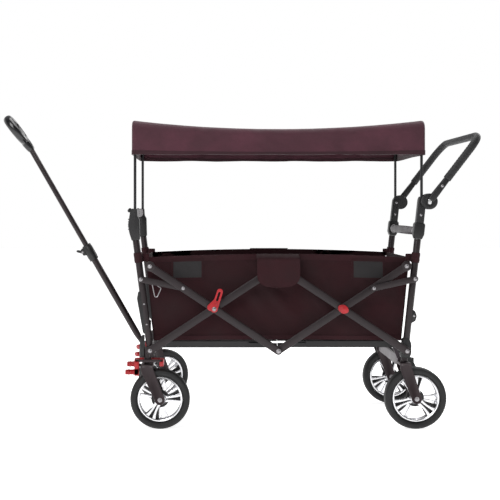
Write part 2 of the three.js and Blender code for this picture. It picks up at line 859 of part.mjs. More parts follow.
function casterFork() {
  const tongue = plateAcrossY(
    linkOutline(12, 9, []),
    [-TONGUE_HALF, TONGUE_HALF],
  ).translate(ROCKER_PIVOT_X, 0, ROCKER_PIVOT_Z);
  const tongueHole = crossRod(
    ROCKER_PIVOT_X,
    ROCKER_PIVOT_Z,
    [-TONGUE_HALF - 1, TONGUE_HALF + 1],
    ROCKER_PIN_RADIUS + GAP,
  );
  return carve(
    [
      ...forkPieces(
        frontCrownTop,
        CROWN_FRONT,
        CROWN_BACK,
        CASTER_TRAIL,
        FRONT_WHEEL_DIAMETER / 2,
      ),
      rod([0, 0, frontCrownTop - 2], [0, 0, housingBottom - RUNNING_GAP], 10, 16),
      rod([0, 0, frontCrownTop], [0, 0, stemTop], STEM_RADIUS),
      tongue,
    ],
    [tongueHole],
  );
}

// The red foot rocker ahead of the caster: two pads on a cheek plate, two arms past the stem,
// and the shoe over the tyre that locks the wheel.
function casterRocker() {
  const PAD_HALF_WIDTH = 14;
  const PAD_HALF_HEIGHT = 9;
  const UPPER_PAD_END = -66;
  const LOWER_PAD_END = -72;
  const PAD_SPACING = 26;
  const ARM_WIDTH = 4;
  const SHOE_SPAN = [38, 52];
  const armLow = frontCrownTop + 8;
  const armHigh = armLow + 8;
  const plateFront = ROCKER_PIVOT_X - 8;
  const plateBack = CROWN_FRONT - 3;
  const half = 23.5;
  const upperPadZ = ROCKER_PIVOT_Z + 4;
  const lowerPadZ = upperPadZ - PAD_SPACING;
  const pad = (z, end) =>
    plateAcrossX(
      new THREE.Shape().absellipse(
        0,
        0,
        PAD_HALF_WIDTH,
        PAD_HALF_HEIGHT,
        0,
        2 * Math.PI,
        false,
        0,
      ),
      [end, plateFront + 1],
    ).translate(0, 0, z);
  const body = carve(
    [
      box([plateFront, plateBack], [-half, half], [lowerPadZ - PAD_HALF_HEIGHT, armHigh]),
      pad(upperPadZ, UPPER_PAD_END),
      pad(lowerPadZ, LOWER_PAD_END),
      box([plateFront, SHOE_SPAN[1]], [-half, -half + ARM_WIDTH], [armLow, armHigh]),
      box([plateFront, SHOE_SPAN[1]], [half - ARM_WIDTH, half], [armLow, armHigh]),
      box(SHOE_SPAN, [-half, half], [frontCrownTop - 6, armHigh]),
    ],
    [
      box(
        [ROCKER_PIVOT_X - 6, plateBack + 1],
        [-TONGUE_HALF - 0.8, TONGUE_HALF + 0.8],
        [ROCKER_PIVOT_Z - 6.5, armHigh + 1],
      ),
    ],
  );
  const pin = crossRod(
    ROCKER_PIVOT_X,
    ROCKER_PIVOT_Z,
    [-TONGUE_HALF - 3, TONGUE_HALF + 3],
    ROCKER_PIN_RADIUS,
  );
  return carve([body, pin]);
}

function addFrontCasters() {
  for (const [name, side] of SIDES) {
    const turnZ = side > 0 ? radians(RIGHT_CASTER_TURN) : 0;
    const caster = addGroup(cart, [casterX, side * TRACK_HALF, 0], { turnZ });
    addMesh(caster, `caster_fork_${name}`, casterFork(), "forkPaint");
    addMesh(caster, `caster_rocker_${name}`, casterRocker(), "redPlastic");
    const radius = FRONT_WHEEL_DIAMETER / 2;
    const hub = [CASTER_TRAIL, 0, radius];
    addMesh(caster, `front_tyre_${name}`, tyre(radius), "tyre", hub);
    addMesh(caster, `front_rim_${name}`, rim(radius, FRONT_FIRST_SPOKE), "chrome", hub);
  }
}

const rearAxleX = halfSpan + REAR_AXLE_BEHIND;
const REAR_CROWN = [halfSpan - 22, halfSpan + 15];
const brakeX = halfSpan + 2;
const brakeZ = rearCrownTop + 8;
const BRAKE_ROD_RADIUS = 4;
const BRAKE_EAR = [TRACK_HALF - 19, TRACK_HALF - 14];
const brakeReach = TRACK_HALF - POST_RADIUS - 1;

function rearFork(side) {
  const y = side * TRACK_HALF;
  const pieces = forkPieces(rearCrownTop, ...REAR_CROWN, rearAxleX, REAR_WHEEL_DIAMETER / 2);
  for (const piece of pieces) {
    piece.translate(0, y, 0);
  }
  const ear = plateAcrossY(
    outline([
      [brakeX - 9, rearCrownTop - 2],
      [brakeX + 9, rearCrownTop - 2],
      [brakeX + 7, brakeZ + 7],
      [brakeX - 7, brakeZ + 7],
    ]),
    across(side, ...BRAKE_EAR),
  );
  const earHole = crossRod(
    brakeX,
    brakeZ,
    across(side, BRAKE_EAR[0] - 1, BRAKE_EAR[1] + 1),
    BRAKE_ROD_RADIUS + RUNNING_GAP,
  );
  return carve([...pieces, ear], [earHole]);
}

// The rear brake: one rod across the cart, a shoe over each tyre and a foot pedal on the left.
function rearBrake() {
  const shoeTop = brakeZ + 4;
  const shoeLow = rearCrownTop - 11;
  const crownEnd = REAR_CROWN[1] + 3;
  const shoe = outline([
    [brakeX, shoeTop],
    [brakeX, brakeZ - 4],
    [crownEnd, brakeZ - 4],
    [crownEnd, shoeLow],
    [crownEnd + 12, shoeLow],
    [crownEnd + 12, shoeTop],
  ]);
  const pedal = outline([
    [brakeX, shoeTop],
    [brakeX, brakeZ - 4],
    [brakeX + 28, brakeZ - 9],
    [brakeX + 28, brakeZ - 1],
  ]);
  const pieces = [crossRod(brakeX, brakeZ, [-brakeReach, brakeReach], BRAKE_ROD_RADIUS)];
  for (const [, side] of SIDES) {
    pieces.push(plateAcrossY(shoe, across(side, BRAKE_EAR[1] + 1, brakeReach)));
  }
  pieces.push(plateAcrossY(pedal, across(-1, TRACK_HALF - 105, TRACK_HALF - 34)));
  return carve(pieces);
}

function addRearWheels() {
  for (const [name, side] of SIDES) {
    const radius = REAR_WHEEL_DIAMETER / 2;
    const hub = [rearAxleX, side * TRACK_HALF, radius];
    addMesh(cart, `rear_tyre_${name}`, tyre(radius), "tyre", hub);
    addMesh(cart, `rear_rim_${name}`, rim(radius, REAR_FIRST_SPOKE), "chrome", hub);
  }
  addMesh(cart, "rear_brake", rearBrake(), "blackPlastic");
}

// ---------------------------------------------------------------- tub and floor
const tubBottomX = halfSpan - TUB_END_INSET;
const tubTopX = tubBottomX + TUB_HEIGHT * 0.096;

function addTubEnd(name, sign) {
  const shape = outline(
    sign < 0
      ? [
          [-tubBottomX - CLOTH, floorHeight],
          [-tubBottomX, floorHeight],
          [-tubTopX, rimHeight],
          [-tubTopX - CLOTH, rimHeight],
        ]
      : [
          [tubBottomX, floorHeight],
          [tubBottomX + CLOTH, floorHeight],
          [tubTopX + CLOTH, rimHeight],
          [tubTopX, rimHeight],
        ],
  );
  const reach = TUB_HALF_WIDTH - CLOTH - 2;
  addMesh(cart, name, plateAcrossY(shape, [-reach, reach]), "tubCloth");
}

function addTubSides() {
  for (const [name, side] of SIDES) {
    const shape = outline([
      [-tubBottomX, floorHeight],
      [tubBottomX, floorHeight],
      [tubTopX, rimHeight],
      [-tubTopX, rimHeight],
    ]);
    const span = across(side, TUB_HALF_WIDTH - CLOTH, TUB_HALF_WIDTH);
    addMesh(cart, `tub_side_${name}`, plateAcrossY(shape, span), "tubCloth");
  }
}

// The fold that a floor board makes for each part of the bars' fold.
const floorRatio = radians(FLOOR_FOLD_ANGLE) / (foldedAngle - openAngle);

// The longest board that never passes the cart's middle while both boards lift.
function boardLength() {
  let length = Infinity;
  for (let share = 0.02; share < 0.6; share += 0.01) {
    const fold = share * (foldedAngle - openAngle);
    const lift = floorRatio * fold;
    const room = BAR_LENGTH * Math.cos(openAngle + fold) - FLOOR_HINGE_INSET - 1.5;
    const corner = (RAIL_HEIGHT / 2) * Math.sin(lift);
    length = Math.min(length, (room - corner) / Math.cos(lift));
  }
  return length;
}

// A floor board hinged at x = 0. The rails of the two boards run in lanes beside each other, so
// they reach the middle of the cart and slide past each other as the boards lift.
function floorBoard(lane) {
  const TIP_STEP = 62; // the plate is narrower here, clear of the other board's rails
  const length = boardLength();
  const railEnd = floorHingeX - 1;
  const wide = lane[1];
  const narrow = REAR_LANE[0] - 1;
  const shoulder = length - TIP_STEP;
  const half = RAIL_HEIGHT / 2;
  const plate = plateLevel(
    outline([
      [half, -wide],
      [shoulder, -wide],
      [shoulder, -narrow],
      [length, -narrow],
      [length, narrow],
      [shoulder, narrow],
      [shoulder, wide],
      [half, wide],
    ]),
    [half - 1, half + FLOOR_PLATE],
  );
  const rails = SIDES.map(([, side]) => {
    const shape = new THREE.Shape();
    shape.absarc(0, 0, half, Math.PI / 2, 1.5 * Math.PI, false);
    shape.lineTo(railEnd, -half);
    shape.lineTo(railEnd, half);
    shape.holes.push(new THREE.Path().absarc(0, 0, pinHole, 0, 2 * Math.PI, true));
    return plateAcrossY(shape, across(side, ...lane));
  });
  return carve([plate, ...rails]);
}

function addFloor() {
  const front = addGroup(cart, [-floorHingeX, 0, floorHingeZ]);
  addMesh(front, "floor_board_front", floorBoard(FRONT_LANE), "blackPlastic");
  const rear = addGroup(cart, [floorHingeX, 0, floorHingeZ], { turnZ: Math.PI });
  addMesh(rear, "floor_board_rear", floorBoard(REAR_LANE), "blackPlastic");
}

// ---------------------------------------------------------------- canopy
const hoopTop = CANOPY_TOP - CANOPY_CLOTH - HOOP_RADIUS - 4;

function hoop(foot) {
  const w = HOOP_HALF_WIDTH;
  const path = new RoundedPath(
    [
      [0, -w, foot],
      [0, -w, hoopTop],
      [0, w, hoopTop],
      [0, w, foot],
    ],
    HOOP_BEND,
    5,
  );
  return sweptTube(path, HOOP_RADIUS, HOOP_RADIUS, 5);
}

// Cloth over both hoops: one shell, open below, whose top sags between the hoops.
function canopyCover() {
  const wall = HOOP_RADIUS + 2.5 + CANOPY_CLOTH;
  const front = frontRodX - wall;
  const back = rearRodX + wall;
  const shell = (inset, low) => {
    const top = CANOPY_TOP - inset;
    const shape = new THREE.Shape();
    shape.moveTo(front + inset, low);
    shape.lineTo(back - inset, low);
    shape.lineTo(back - inset, top - 4);
    shape.lineTo(back - inset - 4, top);
    shape.quadraticCurveTo((front + back) / 2, top - 2 * CANOPY_SAG, front + inset + 4, top);
    shape.lineTo(front + inset, top - 4);
    const half = CANOPY_HALF_WIDTH - inset;
    return plateAcrossY(shape, [-half, half], 14);
  };
  return carve([shell(0, canopyHem)], [shell(CANOPY_CLOTH, canopyHem - 5)]);
}

function addCanopy() {
  addMesh(cart, "front_hoop", hoop(frontPostEnd + 10), "rod", [frontRodX, 0, 0]);
  addMesh(cart, "rear_hoop", hoop(mastTop - SOCKET_DEPTH + 4), "rod", [rearRodX, 0, 0]);
  addMesh(cart, "canopy_cover", canopyCover(), "canopyCloth");
}

// ---------------------------------------------------------------- push handle
function pushHandle() {
  const y = (armDisc[0] + armDisc[1]) / 2 + 4.6;
  const path = new RoundedPath(
    [
      [0, -y, 16],
      [0, -y, PUSH_ARM],
      [0, y, PUSH_ARM],
      [0, y, 16],
    ],
    PUSH_BEND,
    6,
  );
  const pieces = [sweptTube(path, PUSH_TUBE_HALF_WIDTH, PUSH_TUBE_HALF_DEPTH, 6)];
  const cuts = [];
  for (const [, side] of SIDES) {
    pieces.push(crossRod(0, 0, across(side, ...armDisc), DISC_RADIUS, 24));
    cuts.push(
      crossRod(0, 0, across(side, armDisc[1] - 8, armDisc[1] + 20), BUTTON_RADIUS + GAP, 16),
    );
    cuts.push(
      crossRod(0, 0, across(side, armDisc[0] - 2, armDisc[0] + 3.2), HUB_PIN + RUNNING_GAP),
    );
  }
  return carve(pieces, cuts);
}

function addPushHandle() {
  const place = [pushPivotX, 0, pushPivotZ];
  addMesh(cart, "push_handle", pushHandle(), "foam", place, radians(PUSH_ANGLE));
  for (const [name, side] of SIDES) {
    const span = across(side, armDisc[1] - 4.5, armDisc[1] + 3.5);
    addMesh(cart, `release_button_${name}`, crossRod(0, 0, span, BUTTON_RADIUS, 16), "chrome", place);
  }
}

// ---------------------------------------------------------------- pull handle
const tiltHeight = lugTop + 27;

// The swivelling yoke: barrel on the upright pin, and two ears around the tube's foot.
function pullYoke() {
  const low = lugTop + GAP;
  return carve(
    [
      rod([0, 0, low], [0, 0, low + 15], 11, 16),
      ...SIDES.map(([, side]) =>
        plateAcrossY(
          outline([
            [-9, low + 12],
            [9, low + 12],
            [9, tiltHeight + 4],
            [4, tiltHeight + 9],
            [-4, tiltHeight + 9],
            [-9, tiltHeight + 4],
          ]),
          across(side, 7.6, 12.6),
        ),
      ),
      crossRod(0, tiltHeight, [-15, 15], PIN_RADIUS),
    ],
    [
      rod(
        [0, 0, low - 1],
        [0, 0, lugTop + YOKE_PIN_HEIGHT + RUNNING_GAP],
        YOKE_PIN_RADIUS + RUNNING_GAP,
      ),
    ],
  );
}

function pipe(outer, inner, [low, high], sides) {
  const ring = new THREE.Shape().absarc(0, 0, outer, 0, 2 * Math.PI, false);
  ring.holes.push(new THREE.Path().absarc(0, 0, inner, 0, 2 * Math.PI, true));
  return plateLevel(ring, [low, high], sides);
}

// Outer pull tube from its flattened foot at the origin, with the clamp collar at its top.
function pullLower() {
  const inner = PULL_LOWER_RADIUS - PULL_WALL;
  const bore = PULL_UPPER_RADIUS + RUNNING_GAP;
  const collarLow = PULL_LOWER - COLLAR_LENGTH + 8;
  const foot = linkOutline(24, 15, [0]);
  return carve(
    [
      plateAcrossY(foot, [-7, 7]).rotateY(-Math.PI / 2),
      rod([0, 0, 20], [0, 0, PULL_LOWER], PULL_LOWER_RADIUS),
      rod([0, 0, collarLow], [0, 0, PULL_LOWER + 8], COLLAR_RADIUS, 16),
      box([-COLLAR_RADIUS - 9, 0], [-9, 9], [PULL_LOWER - 24, PULL_LOWER + 4]),
    ],
    [
      rod([0, 0, 32], [0, 0, PULL_LOWER + 9], Math.max(inner, bore)),
      box([-COLLAR_RADIUS - 12, -COLLAR_RADIUS + 1], [-5, 5], [PULL_LOWER - 28, PULL_LOWER + 8]),
    ],
  );
}

// The flip lever on the collar, lying down along the tube.
function clampLever() {
  const pin = crossRod(0, 0, [-4.6, 4.6], 5);
  const blade = plateAcrossY(
    outline([
      [0, 4],
      [-12, 14],
      [-17, 14],
      [-17, 9],
      [-6, -3],
      [0, -4],
    ]),
    [-4.6, 4.6],
  );
  return carve([pin, blade]);
}

// The hand loop at the top of the pull tube.
function pullGrip() {
  const half = GRIP_WIDTH / 2;
  const shape = new THREE.Shape();
  shape.moveTo(-13, 0);
  shape.lineTo(13, 0);
  shape.bezierCurveTo(20, 22, half - 6, 34, half - 6, 66);
  shape.bezierCurveTo(half - 6, 112, 34, GRIP_LENGTH - 6, 0, GRIP_LENGTH - 6);
  shape.bezierCurveTo(-34, GRIP_LENGTH - 6, -half + 6, 112, -half + 6, 66);
  shape.bezierCurveTo(-half + 6, 34, -20, 22, -13, 0);
  const hole = new THREE.Path();
  hole.moveTo(0, 42);
  hole.bezierCurveTo(-20, 42, -half + 18, 50, -half + 18, 76);
  hole.bezierCurveTo(-half + 18, 102, -24, 117, 0, 117);
  hole.bezierCurveTo(24, 117, half - 18, 102, half - 18, 76);
  hole.bezierCurveTo(half - 18, 50, 20, 42, 0, 42);
  shape.holes.push(hole);
  return new THREE.ExtrudeGeometry(shape, {
    depth: GRIP_THICKNESS - 12,
    bevelEnabled: true,
    bevelThickness: 6,
    bevelSize: 6,
    bevelSegments: 2,
    curveSegments: 5,
  })
    .applyMatrix4(ALONG_X)
    .translate(-(GRIP_THICKNESS - 12) / 2, 0, 6);
}

function addPullHandle() {
  addMesh(cart, "pull_yoke", pullYoke(), "blackPlastic", [steeringX, 0, 0]);
  const handle = addGroup(cart, [steeringX, 0, tiltHeight], { turnY: -radians(PULL_ANGLE) });
  addMesh(handle, "pull_tube_lower", pullLower(), "framePaint");
  addMesh(
    handle,
    "pull_clamp_lever",
    clampLever(),
    "blackPlastic",
    [-COLLAR_RADIUS - 5, 0, PULL_LOWER - 8],
  );
  const upperEnd = PULL_LOWER + PULL_UPPER_SHOWN;
  addMesh(
    handle,
    "pull_tube_upper",
    pipe(
      PULL_UPPER_RADIUS,
      PULL_UPPER_RADIUS - PULL_WALL,
      [PULL_LOWER - PULL_UPPER_HIDDEN, upperEnd],
      5,
    ),
    "framePaint",
  );
  addMesh(
    handle,
    "pull_grip",
    pullGrip(),
    "blackPlastic",
    [0, 0, upperEnd + 2 + GAP],
    -radians(GRIP_BEND),
  );
}

// ---------------------------------------------------------------- the whole cart
addFrontFrame();
addFrontCasters();
addRearFrame();
addRearWheels();
for (const [name, side] of SIDES) {
  addBars(name, side);
  addStruts(name, side);
  addCrossingFittings(name, side);
}
addTubSides();
addFloor();
addCanopy();
addPushHandle();
addPullHandle();

// The frame's origin is on the ground, under the middle of the cart's own length and width.
const extent = new THREE.Box3().setFromObject(cart, true);
cart.position.set(-(extent.min.x + extent.max.x) / 2, -(extent.min.y + extent.max.y) / 2, 0);

export default cart;
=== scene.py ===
"""Dresses the CAD frame of a folding handcart with its visible surfaces.

Metres, in the frame of the CAD model: +X is the rear with the push handle, -X the front with the
pull handle, +Y the cart's right-hand side and +Z up. Each sub-assembly is a class that holds its
sizes and builds its own meshes, and each finish is a class that builds its own material.
"""

import json
import logging
import math
from dataclasses import dataclass
from enum import Enum
from typing import Callable, Iterable, Optional, Sequence

import bmesh
import bpy
from mathutils import Matrix, Vector, noise


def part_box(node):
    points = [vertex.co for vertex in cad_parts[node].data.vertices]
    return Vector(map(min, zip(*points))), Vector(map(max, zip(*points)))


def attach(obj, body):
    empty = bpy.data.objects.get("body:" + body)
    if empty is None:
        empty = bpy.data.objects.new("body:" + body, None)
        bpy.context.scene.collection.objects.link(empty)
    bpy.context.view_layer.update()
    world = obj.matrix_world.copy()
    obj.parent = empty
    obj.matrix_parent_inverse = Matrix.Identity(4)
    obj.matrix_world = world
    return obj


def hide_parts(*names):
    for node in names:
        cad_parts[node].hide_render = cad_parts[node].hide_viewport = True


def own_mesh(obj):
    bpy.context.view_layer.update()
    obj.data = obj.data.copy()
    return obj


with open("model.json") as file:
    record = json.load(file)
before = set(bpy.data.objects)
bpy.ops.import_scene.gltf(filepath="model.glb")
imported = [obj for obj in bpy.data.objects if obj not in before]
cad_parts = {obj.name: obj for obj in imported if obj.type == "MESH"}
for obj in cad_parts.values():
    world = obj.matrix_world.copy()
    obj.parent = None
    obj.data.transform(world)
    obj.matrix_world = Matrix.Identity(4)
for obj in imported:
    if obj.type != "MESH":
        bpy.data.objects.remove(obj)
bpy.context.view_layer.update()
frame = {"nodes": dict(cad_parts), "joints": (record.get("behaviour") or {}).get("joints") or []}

log = logging.getLogger("handcart")

MM = 0.001
WELD = 1e-6
FLAT = 0.9
CLOTH_SMOOTH = 60.0
WEAVE = "weave"
X_AXIS, Y_AXIS, Z_AXIS = Vector((1, 0, 0)), Vector((0, 1, 0)), Vector((0, 0, 1))

UPRIGHT = Matrix.Rotation(math.pi / 2, 4, "X")

Outline = Sequence[tuple[float, float]]
Colour = tuple[float, float, float]


class Side(Enum):
    """The two sides of the cart, by the sign of Y."""

    LEFT = -1
    RIGHT = 1

    @property
    def label(self) -> str:
        """The side's name as the CAD nodes spell it."""
        return self.name.lower()


class End(Enum):
    """The two ends of the cart, by the sign of X."""

    FRONT = -1
    REAR = 1

    @property
    def label(self) -> str:
        """The end's name as the CAD nodes spell it."""
        return self.name.lower()


def pivot_of(joint_name: str) -> tuple[float, float, float]:
    """Where a joint's pivot is in the frame."""
    return next(tuple(joint["pos_m"]) for joint in frame["joints"] if joint["name"] == joint_name)


# ------------------------------------------------------------------------------ layout
@dataclass(frozen=True)
class Rig:
    """Where the cart's main points are, read from the frame's joints and boxes."""

    centre_x: float
    mid_y: float
    half_span: float
    rise: float
    pivot_z: float
    track: float
    front_slope: float = math.tan(math.radians(7.4))
    rear_slope: float = math.tan(math.radians(6.3))

    @classmethod
    def from_frame(cls) -> "Rig":
        """Reads the joints' pivots and the wheels' middle planes."""
        foot, centre = pivot_of("fold"), pivot_of("bottom_centre_left")
        crossing = pivot_of("front_crossing_left")
        left, right = (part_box(f"rear_tyre_{side.label}") for side in Side)
        left_y, right_y = (left[0].y + left[1].y) / 2, (right[0].y + right[1].y) / 2
        return cls(
            centre_x=centre[0],
            mid_y=(left_y + right_y) / 2,
            half_span=centre[0] - foot[0],
            rise=2 * (crossing[2] - foot[2]),
            pivot_z=foot[2],
            track=(right_y - left_y) / 2,
        )

    def at(self, x: float, y: float, z: float) -> Vector:
        """A point measured from the cart's middle, in the frame."""
        return Vector((self.centre_x + x, self.mid_y + y, z))

    def front_post_x(self, z: float) -> float:
        """The front post's axis at a height."""
        return -self.half_span - self.front_slope * (z - self.pivot_z)

    def rear_post_x(self, z: float) -> float:
        """The rear post's axis at a height."""
        return self.half_span + self.rear_slope * (z - self.pivot_z)

    @property
    def open_angle(self) -> float:
        """The bars' angle above level."""
        return math.atan2(self.rise, self.half_span)

    @property
    def bar_length(self) -> float:
        """A scissor bar's length from pivot to pivot."""
        return math.hypot(self.rise, self.half_span)


RIG = Rig.from_frame()
POST_RADIUS = 0.011
FRONT_POST_END = RIG.pivot_z + 0.352
REAR_POST_END = RIG.pivot_z + 0.356
MAST_TOP = RIG.pivot_z + 0.493
INNER_LAYER = 0.230
OUTER_LAYER = 0.240
LATCH_LAYER = 0.250
BAR_THICKNESS = 0.008
FRONT_ROD_X = RIG.front_post_x(FRONT_POST_END) - 0.003
REAR_ROD_X = RIG.rear_post_x(MAST_TOP) - 0.003
FRONT_CROWN_TOP = 0.208
REAR_CROWN_TOP = 0.214
TUB_FLOOR = RIG.pivot_z + 0.028
TUB_RIM = TUB_FLOOR + 0.268
FOLD_TRAVEL = 0.566


# ------------------------------------------------------------------------------ finishes
class Graph:
    """A material's node tree under construction."""

    def __init__(self, name: str) -> None:
        """Starts a material with its Principled shader.

        Args:
            name: the material's name.
        """
        self.material = bpy.data.materials.new(name)
        self.material.use_nodes = True
        self.nodes = self.material.node_tree.nodes
        self.links = self.material.node_tree.links
        self.shader = self.nodes["Principled BSDF"]

    def feed(self, socket: bpy.types.NodeSocket, value: object) -> None:
        """Links a socket to another, or sets it to a plain value."""
        if isinstance(value, bpy.types.NodeSocket):
            self.links.new(value, socket)
        else:
            socket.default_value = value

    def put(self, name: str, value: object) -> None:
        """Gives one of the shader's own inputs a socket or a plain value."""
        self.feed(self.shader.inputs[name], value)

    def add(self, kind: str, inputs: dict, **settings: object) -> bpy.types.Node:
        """Adds a node.

        Args:
            kind: the node's type.
            inputs: values or sockets by the input's name or index.
            **settings: the node's own properties.

        Returns:
            The new node.
        """
        node = self.nodes.new(kind)
        for key, value in settings.items():
            setattr(node, key, value)
        for key, value in inputs.items():
            self.feed(node.inputs[key], value)
        return node

    def place(self, scale: Sequence[float] = (1, 1, 1)) -> bpy.types.NodeSocket:
        """The point in the piece's own coordinates, scaled."""
        coordinates = self.add("ShaderNodeTexCoord", {})
        mapping = self.add(
            "ShaderNodeMapping", {"Vector": coordinates.outputs["Object"], "Scale": scale}
        )
        return mapping.outputs[0]

    def cloth_place(self) -> bpy.types.NodeSocket:
        """The point on the flat cloth, in metres, from the piece's own UV map."""
        return self.add("ShaderNodeUVMap", {}, uv_map=WEAVE).outputs[0]

    def noise(
        self, at: bpy.types.NodeSocket, scale: float, detail: float = 3.0, rough: float = 0.55
    ) -> bpy.types.NodeSocket:
        """A noise value between about 0.3 and 0.7 at a point."""
        node = self.add(
            "ShaderNodeTexNoise",
            {"Vector": at, "Scale": scale, "Detail": detail, "Roughness": rough},
        )
        return node.outputs[0]

    def span(
        self, value: bpy.types.NodeSocket, low: float, high: float, to_low: float, to_high: float
    ) -> bpy.types.NodeSocket:
        """A value taken from one span to another, and kept inside it."""
        node = self.add(
            "ShaderNodeMapRange",
            {0: value, 1: low, 2: high, 3: to_low, 4: to_high},
            clamp=True,
        )
        return node.outputs[0]

    def math(self, operation: str, a: object, b: object = 0.0) -> bpy.types.NodeSocket:
        """A math node's result."""
        return self.add("ShaderNodeMath", {0: a, 1: b}, operation=operation).outputs[0]

    def mix(self, factor: object, a: object, b: object) -> bpy.types.NodeSocket:
        """Two colours mixed by a factor."""
        node = self.add("ShaderNodeMix", {0: factor, 6: a, 7: b}, data_type="RGBA")
        return node.outputs[2]

    def clouded(
        self, cloud: bpy.types.NodeSocket, colour: Colour, dark: float, light: float,
        low: float = 0.35, high: float = 0.65,
    ) -> bpy.types.NodeSocket:
        """A colour that a cloud of noise takes from a darker to a lighter tone.

        Args:
            cloud: the noise.
            colour: the screen colour in the middle.
            dark: the gain of the darker tone.
            light: the gain of the lighter tone.
            low: the noise at the darker tone.
            high: the noise at the lighter tone.

        Returns:
            The mixed colour.
        """
        share = self.span(cloud, low, high, 0.0, 1.0)
        return self.mix(share, linear(colour, dark), linear(colour, light))

    def edges(self, radius: float) -> bpy.types.NodeSocket:
        """Near 1 along a piece's outer edges, and 0 on its flats."""
        rounded = self.add("ShaderNodeBevel", {"Radius": radius}, samples=4)
        geometry = self.add("ShaderNodeNewGeometry", {})
        dot = self.add(
            "ShaderNodeVectorMath",
            {0: rounded.outputs[0], 1: geometry.outputs["Normal"]},
            operation="DOT_PRODUCT",
        )
        return self.span(dot.outputs["Value"], 0.995, 0.90, 0.0, 1.0)

    def bump(
        self, height: bpy.types.NodeSocket, distance: float, strength: float = 1.0
    ) -> bpy.types.NodeSocket:
        """Adds relief to the shader's normal, over any relief that is there already."""
        node = self.add(
            "ShaderNodeBump", {"Height": height, "Distance": distance, "Strength": strength}
        )
        before = self.shader.inputs["Normal"]
        if before.is_linked:
            self.links.new(before.links[0].from_socket, node.inputs["Normal"])
        self.links.new(node.outputs[0], before)
        return node.outputs[0]


def linear(colour: Colour, gain: float = 1.0) -> tuple[float, float, float, float]:
    """A screen colour as the linear colour that shaders take.

    Args:
        colour: red, green and blue from 0 to 1, as a screen shows them.
        gain: how much lighter or darker the result is.

    Returns:
        The linear colour with full alpha.
    """
    values = [(c / 12.92 if c <= 0.04045 else ((c + 0.055) / 1.055) ** 2.4) * gain for c in colour]
    return (*[min(1.0, value) for value in values], 1.0)


@dataclass(frozen=True)
class CoatedMetal:
    """Powder-coated or bare metal: orange-peel relief, cloudy sheen and rubbed edges."""

    name: str
    slot: str
    colour: Colour
    metallic: float = 0.35
    roughness: float = 0.38
    worn: Colour = (0.62, 0.60, 0.60)
    wear: float = 0.45

    def build(self) -> bpy.types.Material:
        """Builds the material."""
        graph = Graph(self.name)
        at = graph.place()
        cloud = graph.noise(at, 14.0)
        fine = graph.noise(at, 420.0, 2.0)
        base = graph.clouded(cloud, self.colour, 0.86, 1.16)
        edge_wear_and_highlight = graph.math(
            "MULTIPLY",
            graph.edges(1.6 * MM),
            graph.span(graph.noise(at, 85.0), 0.42, 0.62, 0.05, self.wear),
        )
        graph.put("Base Color", graph.mix(edge_wear_and_highlight, base, linear(self.worn)))
        graph.put(
            "Roughness",
            graph.span(cloud, 0.3, 0.7, self.roughness - 0.06, self.roughness + 0.1),
        )
        graph.put("Metallic", self.metallic)
        graph.bump(fine, 0.12 * MM, 0.5)
        return graph.material


@dataclass(frozen=True)
class MouldedPlastic:
    """Moulded plastic with spark-eroded grain, and a painted highlight that lightens every edge."""

    name: str
    slot: str
    colour: Colour
    roughness: float = 0.45
    grain: float = 0.06
    coat: float = 0.0

    def build(self) -> bpy.types.Material:
        """Builds the material."""
        graph = Graph(self.name)
        at = graph.place()
        cloud = graph.noise(at, 22.0)
        grain = graph.noise(at, 950.0, 2.0, 0.6)
        base = graph.clouded(cloud, self.colour, 0.85, 1.15)
        # Every edge is mixed about a third of the way to a lighter tone: a painted highlight along
        # the edges.
        light = tuple(min(1.0, c + 0.13) for c in self.colour)
        edge_wear_and_highlight = graph.math("MULTIPLY", graph.edges(1.2 * MM), 0.35)
        graph.put("Base Color", graph.mix(edge_wear_and_highlight, base, linear(light)))
        graph.put(
            "Roughness",
            graph.span(grain, 0.3, 0.7, self.roughness - 0.07, self.roughness + 0.07),
        )
        graph.put("Coat Weight", self.coat)
        graph.put("Coat Roughness", 0.08)
        graph.bump(grain, self.grain * MM, 0.6)
        return graph.material


@dataclass(frozen=True)
class PlatedPlastic:
    """Bright plating over plastic: nearly a mirror, with faint ripples and cloudy darker patches.
    """

    name: str
    slot: str
    colour: Colour = (0.93, 0.93, 0.94)
    roughness: float = 0.12
    metallic: float = 0.85

    def build(self) -> bpy.types.Material:
        """Builds the material."""
        graph = Graph(self.name)
        at = graph.place()
        cloud = graph.noise(at, 30.0)
        graph.put("Base Color", graph.clouded(cloud, self.colour, 1.0, 0.84, 0.4, 0.68))
        graph.put(
            "Roughness",
            graph.span(cloud, 0.3, 0.7, self.roughness - 0.04, self.roughness + 0.12),
        )
        graph.put("Metallic", self.metallic)
        graph.bump(graph.noise(at, 60.0, 2.0), 0.25 * MM, 0.35)
        return graph.material


@dataclass(frozen=True)
class Rubber:
    """Foamed tyre rubber: matt, pitted, a little dusty."""

    name: str
    slot: str
    colour: Colour = (0.070, 0.070, 0.075)

    def build(self) -> bpy.types.Material:
        """Builds the material."""
        graph = Graph(self.name)
        at = graph.place()
        dust = graph.noise(at, 26.0, 5.0, 0.65)
        pits = graph.add("ShaderNodeTexVoronoi", {"Vector": at, "Scale": 620.0}).outputs[0]
        graph.put(
            "Base Color",
            graph.mix(
                graph.span(dust, 0.45, 0.72, 0.0, 0.6),
                linear(self.colour),
                linear((0.13, 0.127, 0.124)),
            ),
        )
        graph.put("Roughness", graph.span(dust, 0.3, 0.7, 0.55, 0.72))
        graph.bump(pits, 0.15 * MM, 0.5)
        return graph.material


